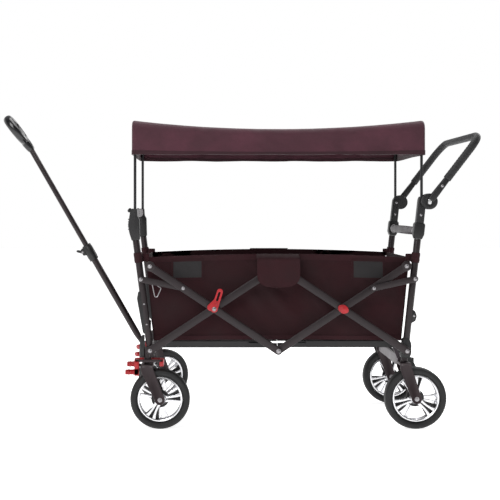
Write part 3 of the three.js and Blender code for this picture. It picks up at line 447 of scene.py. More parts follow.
@dataclass(frozen=True)
class WovenCloth:
    """Coated polyester weave: two thread directions, cloudy dye, slight sheen, creases, and painted
    shade in the gaps between threads.
    """

    name: str
    slot: str
    colour: Colour
    pitch: float = 1.1 * MM
    sheen: float = 0.25
    crease: float = 1.6 * MM
    streak: float = 0.16

    def build(self) -> bpy.types.Material:
        """Builds the material."""
        graph = Graph(self.name)
        flat = graph.cloth_place()
        at = graph.place()
        wave_scale = 2 * math.pi / (20 * self.pitch)
        threads = [
            graph.add(
                "ShaderNodeTexWave",
                {"Vector": flat, "Scale": wave_scale, "Distortion": 0.6, "Detail": 1.0},
                wave_type="BANDS",
                bands_direction=direction,
            ).outputs[1]
            for direction in ("X", "Y")
        ]
        weave = graph.math("MAXIMUM", threads[0], threads[1])
        cloud = graph.noise(at, 11.0, 4.0)
        slub = graph.add(
            "ShaderNodeMapping", {"Vector": flat, "Scale": (60.0, 700.0, 1.0)}
        ).outputs[0]
        thread_tint = graph.noise(slub, 1.0, 2.0)
        dyed = graph.clouded(cloud, self.colour, 1 - self.streak, 1 + self.streak, 0.36, 0.66)
        # Painted shade: the colour darkens towards a half-bright copy where both thread bands dip,
        # in the gaps between threads; the random tone of each thread deepens it on some threads.
        shade = graph.span(
            graph.math("MULTIPLY", weave, graph.span(thread_tint, 0.3, 0.7, 0.75, 1.1)),
            0.0,
            1.0,
            0.55,
            0.0,
        )
        graph.put("Base Color", graph.mix(shade, dyed, linear(self.colour, 0.5)))
        graph.put("Roughness", graph.span(cloud, 0.3, 0.7, 0.72, 0.88))
        graph.put("Sheen Weight", self.sheen)
        graph.put("Sheen Roughness", 0.45)
        graph.put("Specular IOR Level", 0.22)
        graph.bump(graph.noise(at, 17.0, 5.0, 0.6), self.crease, 0.5)
        graph.bump(weave, 0.16 * MM, 0.6)
        return graph.material


@dataclass(frozen=True)
class OpenMesh:
    """A dark net of fine holes over cloth."""

    name: str
    slot: str
    colour: Colour = (0.09, 0.08, 0.085)
    pitch: float = 2.2 * MM

    def build(self) -> bpy.types.Material:
        """Builds the material."""
        graph = Graph(self.name)
        flat = graph.cloth_place()
        cell = graph.add(
            "ShaderNodeTexVoronoi",
            {"Vector": flat, "Scale": 1 / self.pitch, "Randomness": 0.15},
            feature="F1",
        ).outputs[0]
        hole = graph.span(cell, 0.25, 0.42, 1.0, 0.0)
        graph.put(
            "Base Color",
            graph.mix(hole, linear(self.colour, 2.2), linear(self.colour, 0.5)),
        )
        graph.put("Roughness", 0.8)
        graph.bump(hole, -0.3 * MM, 0.8)
        return graph.material


@dataclass(frozen=True)
class HandleFoam:
    """Closed-cell foam sleeve with fine pores."""

    name: str
    slot: str
    colour: Colour = (0.115, 0.115, 0.12)

    def build(self) -> bpy.types.Material:
        """Builds the material."""
        graph = Graph(self.name)
        at = graph.place()
        pores = graph.add("ShaderNodeTexVoronoi", {"Vector": at, "Scale": 780.0}).outputs[0]
        cloud = graph.noise(at, 40.0)
        graph.put("Base Color", graph.clouded(cloud, self.colour, 0.8, 1.3))
        graph.put("Roughness", graph.span(pores, 0.0, 0.6, 0.85, 0.6))
        graph.bump(pores, 0.25 * MM, 0.7)
        return graph.material


class Finish(Enum):
    """Every finish on the cart."""

    FRAME = CoatedMetal("frame_coating", "frame_paint", (0.158, 0.128, 0.136))
    FORK = CoatedMetal("fork_coating", "fork_paint", (0.165, 0.118, 0.130), 0.3, 0.42)
    STEEL = CoatedMetal("bare_steel", "bright_metal", (0.62, 0.61, 0.62), 0.9, 0.3, wear=0.1)
    GREY_METAL = CoatedMetal("brushed_grey", "grey_metal", (0.29, 0.26, 0.28), 0.2, 0.45)
    ROD = CoatedMetal("canopy_rod", "rod", (0.10, 0.10, 0.11), 0.3, 0.35)
    BLACK = MouldedPlastic("black_moulding", "black_plastic", (0.072, 0.068, 0.074))
    GLOSS = MouldedPlastic("gloss_moulding", "gloss_black", (0.05, 0.05, 0.058), 0.24, 0.02, 0.4)
    RED = MouldedPlastic("red_moulding", "red_plastic", (0.66, 0.075, 0.11), 0.38)
    PLATED = PlatedPlastic("wheel_plating", "plated_plastic")
    BUTTON = PlatedPlastic("button_plating", "bright_metal", (0.9, 0.9, 0.9), 0.2)
    TYRE = Rubber("tyre_rubber", "tyre")
    TUB = WovenCloth("tub_weave", "tub_cloth", (0.165, 0.060, 0.078), sheen=0.05)
    TUB_INSIDE = WovenCloth("tub_lining", "tub_cloth", (0.12, 0.08, 0.09))
    TUB_TRIM = WovenCloth("tub_binding", "tub_cloth", (0.185, 0.074, 0.094), 0.9 * MM, 0.05)
    CANOPY = WovenCloth(
        "canopy_weave", "canopy_cloth", (0.305, 0.170, 0.210), 0.9 * MM, 0.3, 2.2 * MM, 0.2
    )
    CANOPY_TRIM = WovenCloth("canopy_binding", "canopy_cloth", (0.215, 0.120, 0.145), 0.9 * MM)
    NET = OpenMesh("pocket_net", "tub_cloth")
    FOAM = HandleFoam("handle_foam", "foam")


_materials: dict[str, bpy.types.Material] = {}


def material_of(finish: Finish) -> bpy.types.Material:
    """The finish's material, made once."""
    name = finish.value.name
    if name not in _materials:
        _materials[name] = finish.value.build()
    return _materials[name]


# ------------------------------------------------------------------------------ outlines
def arc(
    centre: tuple[float, float], radius: float, start: float, end: float, steps: int
) -> list[tuple[float, float]]:
    """Points along an arc, both ends included, with its angles in radians."""
    return [
        (
            centre[0] + radius * math.cos(start + (end - start) * i / steps),
            centre[1] + radius * math.sin(start + (end - start) * i / steps),
        )
        for i in range(steps + 1)
    ]


def stadium(length: float, depth: float, steps: int = 10) -> list[tuple[float, float]]:
    """A bar's outline with round ends, centred on (0, 0) and (length, 0)."""
    radius = depth / 2
    quarter = math.pi / 2
    return arc((length, 0), radius, -quarter, quarter, steps) + arc(
        (0, 0), radius, quarter, 3 * quarter, steps
    )


def rounded(points: Outline, radius: float, steps: int = 4) -> list[tuple[float, float]]:
    """An outline whose corners are rounded.

    Args:
        points: the outline's corners in order.
        radius: how far from each corner the rounding starts, where there is room.
        steps: the number of stretches in each rounding.

    Returns:
        The new outline.
    """
    made = []
    corners = [Vector(point) for point in points]
    for index, corner in enumerate(corners):
        before, after = corners[index - 1], corners[(index + 1) % len(corners)]
        reach = min(radius, (before - corner).length * 0.45, (after - corner).length * 0.45)
        start = corner + (before - corner).normalized() * reach
        end = corner + (after - corner).normalized() * reach
        for step in range(steps + 1):
            t = step / steps
            point = start * (1 - t) ** 2 + corner * (2 * t * (1 - t)) + end * t**2
            made.append((point.x, point.y))
    return made


def oval(width: float, height: float, steps: int = 24) -> list[tuple[float, float]]:
    """An ellipse's outline."""
    turns = (2 * math.pi * i / steps for i in range(steps))
    return [(width / 2 * math.cos(a), height / 2 * math.sin(a)) for a in turns]


# ------------------------------------------------------------------------------ placing
def slab(y: float, half: float) -> tuple[float, float]:
    """The span of an upright plate's thickness, which runs along -Y, centred on y."""
    return -(y + half), -(y - half)


def moved(place: Matrix, stations: Sequence[Matrix]) -> list[Matrix]:
    """Rings carried from a place's own coordinates to the frame."""
    return [place @ station for station in stations]


def facing(point: Vector, direction: Vector, roll: float = 0.0) -> Matrix:
    """A place whose +Z points in a direction."""
    turn = direction.to_track_quat("Z", "Y").to_matrix().to_4x4()
    return Matrix.Translation(point) @ turn @ Matrix.Rotation(roll, 4, "Z")


def upright(point: Vector, angle: float = 0.0) -> Matrix:
    """A place for outlines drawn in X and Z, whose thickness runs along Y.

    Args:
        point: where the outline's origin goes.
        angle: how far the outline's X axis is lifted above level, in radians.

    Returns:
        The place: local X and Y become X and Z, and local Z becomes -Y.
    """
    return Matrix.Translation(point) @ Matrix.Rotation(-angle, 4, "Y") @ UPRIGHT


def path_stations(
    path: Sequence[Vector],
    across: Vector,
    size: Callable[[float], tuple[float, float]],
    closed: bool = False,
) -> list[Matrix]:
    """Places for a tube's rings along a path.

    Args:
        path: the points that the tube follows.
        across: the direction that the section's width keeps nearest to.
        size: the section's half width and half depth for a share of the path.
        closed: whether the path ends where it starts.

    Returns:
        One place for each point.
    """
    count = len(path)
    made = []
    for index, point in enumerate(path):
        before = path[index - 1] if index or closed else point
        after = path[(index + 1) % count] if index < count - 1 or closed else point
        tangent = (after - before).normalized()
        first = (across - tangent * across.dot(tangent)).normalized()
        second = tangent.cross(first)
        half_width, half_depth = size(index / max(1, count - 1))
        matrix = Matrix.Identity(4)
        for column, vector in enumerate((first * half_width, second * half_depth, tangent)):
            for row in range(3):
                matrix[row][column] = vector[row]
        matrix.translation = point
        made.append(matrix)
    return made


def bent_path(corners: Sequence[Vector], bend: float, steps: int = 8) -> list[Vector]:
    """Straight stretches between corners, with each inner corner rounded by an arc."""
    path = [corners[0]]
    for before, corner, after in zip(corners, corners[1:], corners[2:]):
        into = (corner - before).normalized()
        out = (after - corner).normalized()
        reach = bend * math.tan(into.angle(out) / 2)
        start = corner - into * reach
        inward = (out - into * out.dot(into)).normalized()
        centre = start + inward * bend
        for step in range(steps + 1):
            turn = into.angle(out) * step / steps
            path.append(centre - inward * bend * math.cos(turn) + into * bend * math.sin(turn))
    path.append(corners[-1])
    return path


def resampled(path: Sequence[Vector], spacing: float) -> list[Vector]:
    """The same path with points no further apart than spacing."""
    made = [path[0]]
    for start, end in zip(path, path[1:]):
        parts = max(1, math.ceil((end - start).length / spacing))
        made.extend(start.lerp(end, part / parts) for part in range(1, parts + 1))
    return made


# ------------------------------------------------------------------------------ shapes
def soften(
    part: bmesh.types.BMesh, edges: Sequence[bmesh.types.BMEdge], width: float, segments: int,
    clamp: bool = True,
) -> None:
    """Rounds edges.

    Args:
        part: the mesh that they belong to.
        edges: the edges.
        width: how far the rounding reaches from each edge.
        segments: the number of faces across it.
        clamp: whether it stops where two roundings meet.
    """
    bmesh.ops.bevel(
        part, geom=edges, offset=width, offset_type="OFFSET", affect="EDGES",
        segments=segments, profile=0.5, material=-1, clamp_overlap=clamp,
    )


def add_box(part: bmesh.types.BMesh, middle: Vector, size: Vector) -> None:
    """Adds a sharp box to a mesh."""
    place = Matrix.Translation(middle) @ Matrix.Diagonal((*size, 1.0))
    bmesh.ops.create_cube(part, size=1.0, matrix=place)


def lay_flat(bm: bmesh.types.BMesh) -> None:
    """Gives each face UVs in metres, seen along the axis that it faces most."""
    layer = bm.loops.layers.uv.new(WEAVE)
    for face in bm.faces:
        normal = [abs(value) for value in face.normal]
        drop = normal.index(max(normal))
        kept = [axis for axis in range(3) if axis != drop]
        for loop in face.loops:
            loop[layer].uv = tuple(loop.vert.co[axis] for axis in kept)


def new_verts(made: dict) -> list[bmesh.types.BMVert]:
    """The vertices among an operator's new geometry."""
    return [item for item in made["geom"] if isinstance(item, bmesh.types.BMVert)]


def even(width: float, depth: Optional[float] = None) -> Callable[[float], tuple[float, float]]:
    """A tube's section that is the same all along: round, or oval where a depth is given."""
    return lambda _: (width, width if depth is None else depth)


class Shape:
    """A mesh under construction, from operators only."""

    def __init__(self) -> None:
        """Starts an empty mesh."""
        self.bm = bmesh.new()

    def absorb(self, part: bmesh.types.BMesh, place: Optional[Matrix] = None) -> "Shape":
        """Welds a part, turns its faces out, and joins it to the shape.

        Args:
            part: the part, which is freed.
            place: where it goes, or None where it is already.

        Returns:
            The shape itself.
        """
        bmesh.ops.remove_doubles(part, verts=part.verts[:], dist=WELD)
        if place is not None:
            bmesh.ops.transform(part, matrix=place, verts=part.verts[:])
        bmesh.ops.recalc_face_normals(part, faces=part.faces[:])
        return self.merge(part)

    def merge(self, part: bmesh.types.BMesh) -> "Shape":
        """Joins a part to the shape as it is, and frees the part."""
        carrier = bpy.data.meshes.new("carrier")
        part.to_mesh(carrier)
        part.free()
        self.bm.from_mesh(carrier)
        bpy.data.meshes.remove(carrier)
        return self

    def lathe(
        self, profile: Outline, place: Matrix, steps: int = 32, ring: bool = False
    ) -> "Shape":
        """Turns a profile of (radius, height) points round the place's +Z.

        Args:
            profile: the points, from one end to the other.
            place: where the solid goes.
            steps: the number of faces round the axis.
            ring: whether the profile closes on itself, for a ring.

        Returns:
            The shape itself.
        """
        part = bmesh.new()
        verts = [part.verts.new((radius, 0, height)) for radius, height in profile]
        edges = [part.edges.new(pair) for pair in zip(verts, verts[1:])]
        if ring:
            edges.append(part.edges.new((verts[-1], verts[0])))
        bmesh.ops.spin(
            part,
            geom=verts + edges,
            cent=(0, 0, 0),
            axis=(0, 0, 1),
            dvec=(0, 0, 0),
            angle=2 * math.pi,
            steps=steps,
            use_merge=True,
            use_duplicate=False,
        )
        return self.absorb(part, place)

    def plate(
        self,
        outline: Outline,
        low: float,
        high: float,
        place: Matrix,
        rim: float = 1.0 * MM,
        segments: int = 2,
        holes: Sequence[Outline] = (),
        pressed: float = 0.0,
    ) -> "Shape":
        """A plate with rounded rims.

        Args:
            outline: the plate's outline in the place's X and Y.
            low: its lower face.
            high: its upper face.
            place: where it goes.
            rim: the width of the rims' rounding.
            segments: the number of faces across a rounding.
            holes: outlines of the holes through it.
            pressed: how deep the middle of both faces is pressed in.

        Returns:
            The shape itself.
        """
        part = bmesh.new()
        loops = [[part.verts.new((x, y, low)) for x, y in points] for points in (outline, *holes)]
        if holes:
            edges = [
                part.edges.new((verts[index - 1], verts[index]))
                for verts in loops
                for index in range(len(verts))
            ]
            bmesh.ops.triangle_fill(part, use_beauty=True, edges=edges, normal=(0, 0, 1))
        else:
            part.faces.new(loops[0])
        made = bmesh.ops.extrude_face_region(part, geom=part.faces[:])
        bmesh.ops.translate(part, vec=(0, 0, high - low), verts=new_verts(made))
        if any(edge.is_boundary for edge in part.edges):
            bmesh.ops.holes_fill(part, edges=[e for e in part.edges if e.is_boundary], sides=0)
        bmesh.ops.recalc_face_normals(part, faces=part.faces[:])
        if pressed:
            for face in [f for f in part.faces if abs(f.normal.z) > FLAT]:
                for width, depth in ((3.2 * MM, 0.0), (1.2 * MM, -pressed)):
                    bmesh.ops.inset_region(
                        part, faces=[face], thickness=width, depth=depth, use_even_offset=True,
                        use_boundary=True,
                    )
        rims = [
            edge
            for edge in part.edges
            if len(edge.link_faces) == 2
            and sorted(abs(face.normal.z) > FLAT for face in edge.link_faces) == [False, True]
            and any(abs(face.normal.z) < 0.1 for face in edge.link_faces)
        ]
        soften(part, rims, rim, segments)
        return self.absorb(part, place)

    def block(
        self, low: Vector, high: Vector, rim: float = 1.5 * MM, place: Optional[Matrix] = None
    ) -> "Shape":
        """A block between two corners with all its edges rounded."""
        part = bmesh.new()
        add_box(part, (low + high) / 2, high - low)
        soften(part, part.edges[:], rim, 2)
        return self.absorb(part, place)

    def tube(
        self, stations: Sequence[Matrix], sides: int = 16, closed: bool = False, cap: float = 0.25
    ) -> "Shape":
        """A tube through a row of rings.

        Args:
            stations: a place for each ring, whose X and Y columns carry the ring's size.
            sides: the number of faces round the tube.
            closed: whether the last ring joins the first.
            cap: the rounding of the end faces, as a share of the ring's size, or 0 for none.

        Returns:
            The shape itself.
        """
        part = bmesh.new()
        bmesh.ops.create_circle(
            part, cap_ends=False, segments=sides, radius=1.0, matrix=stations[0]
        )
        first = edges = part.edges[:]
        for before, after in zip(stations, stations[1:]):
            made = bmesh.ops.extrude_edge_only(part, edges=edges)
            verts = new_verts(made)
            fresh = set(verts)
            edges = [
                item
                for item in made["geom"]
                if isinstance(item, bmesh.types.BMEdge) and set(item.verts) <= fresh
            ]
            bmesh.ops.transform(part, matrix=after @ before.inverted(), verts=verts)
        if closed:
            bmesh.ops.bridge_loops(part, edges=first + edges)
        else:
            bmesh.ops.holes_fill(part, edges=first + edges, sides=0)
            if cap > 0:
                width = min(
                    stations[0].col[0].to_3d().length, stations[-1].col[0].to_3d().length
                )
                bmesh.ops.recalc_face_normals(part, faces=part.faces[:])
                soften(part, first + edges, cap * width, 3)
        return self.absorb(part)

    def rod(self, start: Vector, end: Vector, radius: float, sides: int = 16) -> "Shape":
        """A straight round bar with rounded ends."""
        across = X_AXIS if abs((end - start).normalized().x) < 0.9 else Y_AXIS
        return self.tube(path_stations([start, end], across, even(radius)), sides)

    def rivet(self, point: Vector, direction: Vector, radius: float, height: float) -> "Shape":
        """A domed head on a washer, standing out of a surface."""
        brim = radius * 1.22
        profile = [
            (0.0, height),
            (radius * 0.45, height * 0.93),
            (radius * 0.8, height * 0.68),
            (radius * 0.97, height * 0.34),
            (radius, height * 0.22),
            (brim, height * 0.18),
            (brim, 0.0),
            (0.0, 0.0),
        ]
        return self.lathe(profile, facing(point, direction), 20)

    def bolt(self, point: Vector, direction: Vector, radius: float, height: float) -> "Shape":
        """A hexagon head on a washer, standing out of a surface."""
        place = facing(point, direction)
        washer = [(0, 0), (radius * 1.3, 0), (radius * 1.3, height * 0.2), (0, height * 0.2)]
        self.lathe(washer, place, 24)
        turns = [math.pi * i / 3 for i in range(6)]
        hexagon = [(radius * math.cos(a), radius * math.sin(a)) for a in turns]
        return self.plate(hexagon, height * 0.2, height, place, height * 0.15, 2)

    def grid(
        self,
        columns: int,
        rows: int,
        place: Callable[[float, float], Vector],
        thickness: float,
        flat: tuple[float, float],
    ) -> "Shape":
        """A cloth sheet laid on a surface, with thickness and metric UVs.

        Args:
            columns: the number of cells along the first direction.
            rows: the number of cells along the second.
            place: the surface's point for two shares from 0 to 1.
            thickness: the cloth's thickness.
            flat: the cloth's width and length when flat.

        Returns:
            The shape itself.
        """
        part = bmesh.new()
        bmesh.ops.create_grid(part, x_segments=columns, y_segments=rows, size=0.5)
        layer = part.loops.layers.uv.new(WEAVE)
        for face in part.faces:
            for loop in face.loops:
                across, along = loop.vert.co.x + 0.5, loop.vert.co.y + 0.5
                loop[layer].uv = (across * flat[0], along * flat[1])
        for vert in part.verts:
            vert.co = place(vert.co.x + 0.5, vert.co.y + 0.5)
        bmesh.ops.recalc_face_normals(part, faces=part.faces[:])
        if thickness:
            bmesh.ops.solidify(part, geom=part.faces[:], thickness=thickness)
        return self.absorb(part)

    def finish(
        self,
        name: str,
        finish: Finish,
        body: Optional[str],
        replaces: Iterable[str] = (),
        smooth_angle: float = 38.0,
    ) -> bpy.types.Object:
        """Turns the shape into a dressed piece of the cart.

        Args:
            name: the piece's name.
            finish: its finish.
            body: the CAD body that it rides on.
            replaces: the CAD nodes that it stands for.
            smooth_angle: edges sharper than this many degrees stay sharp.

        Returns:
            The new object.
        """
        if WEAVE not in self.bm.loops.layers.uv:
            lay_flat(self.bm)
        mesh = bpy.data.meshes.new(name)
        self.bm.to_mesh(mesh)
        self.bm.free()
        mesh.shade_smooth()
        mesh.set_sharp_from_angle(angle=math.radians(smooth_angle))
        obj = bpy.data.objects.new(name, mesh)
        bpy.context.scene.collection.objects.link(obj)
        mesh.materials.append(material_of(finish))
        if body is not None:
            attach(obj, body)
        nodes = list(replaces)
        if nodes:
            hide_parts(*nodes)
        log.info("%s: %d faces, on %s", name, len(mesh.polygons), body)
        return obj


# ------------------------------------------------------------------------------ wheels
@dataclass(frozen=True)
class Wheel:
    """One wheel: foamed tyre, plated rim with twin spokes on both faces, and hub."""

    name: str
    body: str
    hub: Vector
    radius: float
    turn: float
    first_spoke: float
    width: float = 0.045
    tyre_depth: float = 0.0235
    rim_half: float = 0.0145
    hub_radius: float = 0.0195
    spokes: int = 3
    far_spoke_lag: float = math.radians(38)

    @property
    def place(self) -> Matrix:
        """The hub's place, with local +Z along the axle towards -Y."""
        turned = Matrix.Rotation(self.turn, 4, "Z")
        return Matrix.Translation(self.hub) @ turned @ UPRIGHT

    def tyre(self) -> None:
        """Builds the tyre: a fat ring with three shallow grooves round its tread."""
        half, depth, crown = self.width / 2, self.tyre_depth, self.radius
        middle = crown - depth / 2
        profile = []
        steps = 44
        for step in range(steps):
            turn = 2 * math.pi * step / steps
            c, s = math.cos(turn), math.sin(turn)
            radial = math.copysign(abs(c) ** 0.72, c) * depth / 2
            aside = math.copysign(abs(s) ** 0.62, s) * half
            if c > 0.55:
                radial -= 0.9 * MM * max(0.0, math.cos(aside / half * 7 * math.pi)) ** 8
            profile.append((middle + radial, aside))
        shape = Shape().lathe(profile, self.place, 72, ring=True)
        shape.finish(f"{self.name}_tyre_skin", Finish.TYRE, self.body, [self.name_node("tyre")])

    def name_node(self, kind: str) -> str:
        """The CAD node of the wheel's tyre or rim."""
        end, label = self.name.split("_")[0], self.name.split("_")[1]
        return f"{end}_{kind}_{label}"

    def blade(self, angle: float, lean: int) -> list[tuple[float, float]]:
        """One blade of a twin spoke, waisted near the hub and flared at the rim."""
        start, end = self.hub_radius - 3 * MM, self.radius - self.tyre_depth - 4 * MM
        rows = [
            (0.0, 6.0, 5.2), (0.2, 5.4, 3.6), (0.45, 6.2, 3.5), (0.7, 8.6, 4.2), (0.9, 11.6, 5.6),
            (1.0, 13.4, 7.2),
        ]

        def point(share: float, aside: float) -> tuple[float, float]:
            """A point beside the spoke's middle line."""
            along = start + (end - start) * share
            c, s = math.cos(angle), math.sin(angle)
            return (along * c - aside * s, along * s + aside * c)

        near = [point(t, lean * (mid - half) * MM) for t, mid, half in rows]
        far = [point(t, lean * (mid + half) * MM) for t, mid, half in reversed(rows)]
        return near + far

    def rim(self) -> None:
        """Builds the rim, its spokes and its hub as one plated piece."""
        outer = self.radius - self.tyre_depth - 0.2 * MM
        half = self.rim_half
        section = [
            (outer, -half), (outer, half), (outer - 1.2 * MM, half + 1.6 * MM),
            (outer - 4.5 * MM, half + 2.0 * MM), (outer - 6.6 * MM, half + 0.6 * MM),
            (outer - 6.0 * MM, half - 2.4 * MM), (outer - 4.0 * MM, half - 4.0 * MM),
            (outer - 3.2 * MM, 0.0), (outer - 4.0 * MM, -half + 4.0 * MM),
            (outer - 6.0 * MM, -half + 2.4 * MM), (outer - 6.6 * MM, -half - 0.6 * MM),
            (outer - 4.5 * MM, -half - 2.0 * MM), (outer - 1.2 * MM, -half - 1.6 * MM),
        ]
        shape = Shape().lathe(section, self.place, 72, ring=True)
        r = self.hub_radius
        hub = [
            (6.6 * MM, half + 2.5 * MM), (10 * MM, half + 2.5 * MM), (11.5 * MM, half + 1.0 * MM),
            (r - 4 * MM, half - 1.5 * MM), (r, half - 5.5 * MM), (r - 1.5 * MM, half - 8 * MM),
            (r - 3 * MM, 0.0), (r - 1.5 * MM, 8 * MM - half), (r, 5.5 * MM - half),
            (r - 4 * MM, 1.5 * MM - half), (11.5 * MM, -half - 1.0 * MM),
            (10 * MM, -half - 2.5 * MM), (6.6 * MM, -half - 2.5 * MM),
        ]
        shape.lathe(hub, self.place, 40, ring=True)
        pitch = 2 * math.pi / self.spokes
        for sign, lag in ((1, 0.0), (-1, self.far_spoke_lag)):
            low, high = sorted((sign * 3.0 * MM, sign * (half - 1.0 * MM)))
            for index in range(self.spokes):
                angle = self.first_spoke + lag + index * pitch
                for lean in (-1, 1):
                    shape.plate(
                        rounded(self.blade(angle, lean), 2 * MM, 2), low, high, self.place,
                        2.2 * MM, 3,
                    )
        shape.finish(
            f"{self.name}_rim_plated", Finish.PLATED, self.body, [self.name_node("rim")], 32.0
        )

    def build(self) -> None:
        """Builds the whole wheel."""
        self.tyre()
        self.rim()
        web = Shape()
        inner = self.radius - self.tyre_depth - 3.6 * MM
        ring = [(self.hub_radius - 4 * MM, -1.6 * MM), (self.hub_radius + 9 * MM, -1.6 * MM),
                (self.hub_radius + 9 * MM, 1.6 * MM), (self.hub_radius - 4 * MM, 1.6 * MM)]
        web.lathe(ring, self.place, 40, ring=True)
        for index in range(self.spokes):
            middle = self.first_spoke + index * 2 * math.pi / self.spokes
            outline = arc((0, 0), inner, middle - 0.30, middle + 0.42, 8) + arc(
                (0, 0), self.hub_radius, middle + 0.34, middle - 0.18, 4
            )
            web.plate(outline, -1.8 * MM, 1.8 * MM, self.place, 0.6 * MM, 1)
        web.finish(f"{self.name}_inner_web", Finish.BLACK, self.body)


# ------------------------------------------------------------------------------ forks
@dataclass(frozen=True)
class Fork:
    """A pressed fork: two blades, crown, axle and its nuts."""

    name: str
    body: str
    place: Matrix
    top: float
    crown: tuple[float, float]
    axle: tuple[float, float]
    node: str
    stem: Optional[tuple[float, float]] = None
    blade_inner: float = 0.0262
    blade_thickness: float = 0.0048
    tip_radius: float = 0.016
    crown_thickness: float = 0.010

    def blade_outline(self) -> list[tuple[float, float]]:
        """The blade, broad at the crown and round at the axle."""
        front, back = self.crown
        top = self.top
        return (
            [(front + 2 * MM, top), (front, top - 3 * MM), (front, top - 18 * MM)]
            + arc(self.axle, self.tip_radius, 1.12 * math.pi, 2.12 * math.pi, 14)
            + [(back, top - 14 * MM), (back, top - 3 * MM), (back - 2 * MM, top)]
        )

    def build(self) -> None:
        """Builds the fork and its fasteners."""
        inner, outer = self.blade_inner, self.blade_inner + self.blade_thickness
        stand = self.place @ UPRIGHT
        outline = self.blade_outline()
        shape = Shape()
        for low, high in ((-outer, -inner), (inner, outer)):
            shape.plate(outline, low, high, stand, 1.4 * MM, 3, pressed=0.9 * MM)
        front, back = self.crown
        shape.block(
            Vector((front + 0.4 * MM, -outer + 1 * MM, self.top - self.crown_thickness)),
            Vector((back - 0.4 * MM, outer - 1 * MM, self.top - 0.2 * MM)),
            2.4 * MM,
            self.place,
        )
        if self.stem is not None:
            base, rise = self.stem
            collar = [
                (0, base), (13.5 * MM, base), (13.5 * MM, base + 1.2 * MM),
                (10.5 * MM, base + 2 * MM), (10.5 * MM, rise), (0, rise),
            ]
            shape.lathe(collar, self.place, 28)
        shape.finish(f"{self.name}_fork_pressing", Finish.FORK, self.body, [self.node])
        bolts = Shape()
        for side in Side:
            point = self.place @ Vector((self.axle[0], side.value * outer, self.axle[1]))
            direction = self.place.to_3x3() @ (Y_AXIS * side.value)
            bolts.bolt(point, direction, 5.6 * MM, 3.4 * MM)
            bolts.rivet(point + direction * 3.2 * MM, direction, 3.0 * MM, 1.2 * MM)
            inner_point = self.place @ Vector((self.axle[0], side.value * inner, self.axle[1]))
            spacer = [(0, 0), (8.4 * MM, 0), (7.6 * MM, 8.6 * MM), (0, 8.6 * MM)]
            bolts.lathe(spacer, facing(inner_point, -direction), 24)
        bolts.finish(f"{self.name}_axle_bolts", Finish.STEEL, self.body)


@dataclass(frozen=True)
class Caster:
    """One swivelling front wheel with its fork and red foot rocker."""

    side: Side
    radius: float = 0.096
    trail: float = 0.040
    axis_forward: float = 0.008
    right_turn: float = math.radians(30)
    crown: tuple[float, float] = (-0.021, 0.019)
    rocker_pivot: tuple[float, float] = (-0.034, FRONT_CROWN_TOP - 0.005)

    @property
    def turn(self) -> float:
        """How far the caster is turned at rest."""
        return self.right_turn if self.side is Side.RIGHT else 0.0

    @property
    def place(self) -> Matrix:
        """The swivel axis at the ground."""
        foot = RIG.at(-RIG.half_span - self.axis_forward, self.side.value * RIG.track, 0)
        return Matrix.Translation(foot) @ Matrix.Rotation(self.turn, 4, "Z")

    def rocker(self) -> None:
        """Builds the red rocker: two ribbed pads, cheek plate, arms and shoe."""
        label = self.side.label
        x, z = self.rocker_pivot
        front, back = x - 8 * MM, -27 * MM
        low, high = z - 31 * MM, FRONT_CROWN_TOP + 16 * MM
        half = 23.5 * MM
        shape = Shape()
        stand = self.place @ UPRIGHT
        tongue_gap = 7.4 * MM
        for y0, y1 in ((-half, -tongue_gap), (tongue_gap, half)):
            cheek = rounded(
                [(front, low), (back, low + 4 * MM), (back, high), (front, high)], 5 * MM
            )
            shape.plate(cheek, -y1, -y0, stand, 1.6 * MM, 2)
        shape.block(
            Vector((front, -half + 2 * MM, low)), Vector((front + 1.9 * MM, half - 2 * MM, high)),
            0.8 * MM, self.place,
        )
        shape.block(
            Vector((front, -half, low)), Vector((back, half, z - 7.5 * MM)), 1.6 * MM, self.place
        )
        for centre, tip in ((z + 4 * MM, -66 * MM), (z - 22 * MM, -72 * MM)):
            for index in range(4):
                step = (front + 1 * MM - tip) / 4
                start = tip + index * step
                size = 1.0 if index % 2 else 0.93
                section = (14 * MM * size, 8.9 * MM * size)
                rings = [Vector((start, 0, centre)), Vector((start + step * 1.02, 0, centre))]
                shape.tube(
                    moved(self.place, path_stations(rings, Y_AXIS, even(*section))),
                    24,
                    cap=0.12,
                )
        guard = Shape()
        for sign, arm in ((self.side.value, guard), (-self.side.value, shape)):
            y = sign * (half - 2 * MM)
            arm.block(
                Vector((front + 2 * MM, y - 2 * MM, FRONT_CROWN_TOP + 8 * MM)),
                Vector((50 * MM, y + 2 * MM, high)), 1.2 * MM, self.place,
            )
        guard.finish(f"rocker_outer_arm_{label}", Finish.FORK, f"rocker_{label}")
        shape.block(
            Vector((38 * MM, -half, FRONT_CROWN_TOP - 6 * MM)), Vector((52 * MM, half, high)),
            3.0 * MM, self.place,
        )
        shape.finish(
            f"foot_rocker_{label}", Finish.RED, f"rocker_{label}", [f"caster_rocker_{label}"]
        )

    def build(self) -> None:
        """Builds the wheel, fork and rocker."""
        label = self.side.label
        hub = self.place @ Vector((self.trail, 0, self.radius))
        Wheel(
            f"front_{label}", f"front_wheel_{label}", hub, self.radius, self.turn, math.radians(2)
        ).build()
        Fork(
            f"caster_{label}", f"caster_{label}", self.place, FRONT_CROWN_TOP, self.crown,
            (self.trail, self.radius), f"caster_fork_{label}", (FRONT_CROWN_TOP - 1 * MM, 0.2117),
        ).build()
        x, z = self.rocker_pivot
        tongue = Shape().plate(
            stadium(12 * MM, 9 * MM), -6 * MM, 6 * MM,
            self.place @ Matrix.Translation((x, 0, z)) @ UPRIGHT,
            1 * MM,
        )
        tongue.finish(f"rocker_hinge_{label}", Finish.FORK, f"caster_{label}")
        self.rocker()


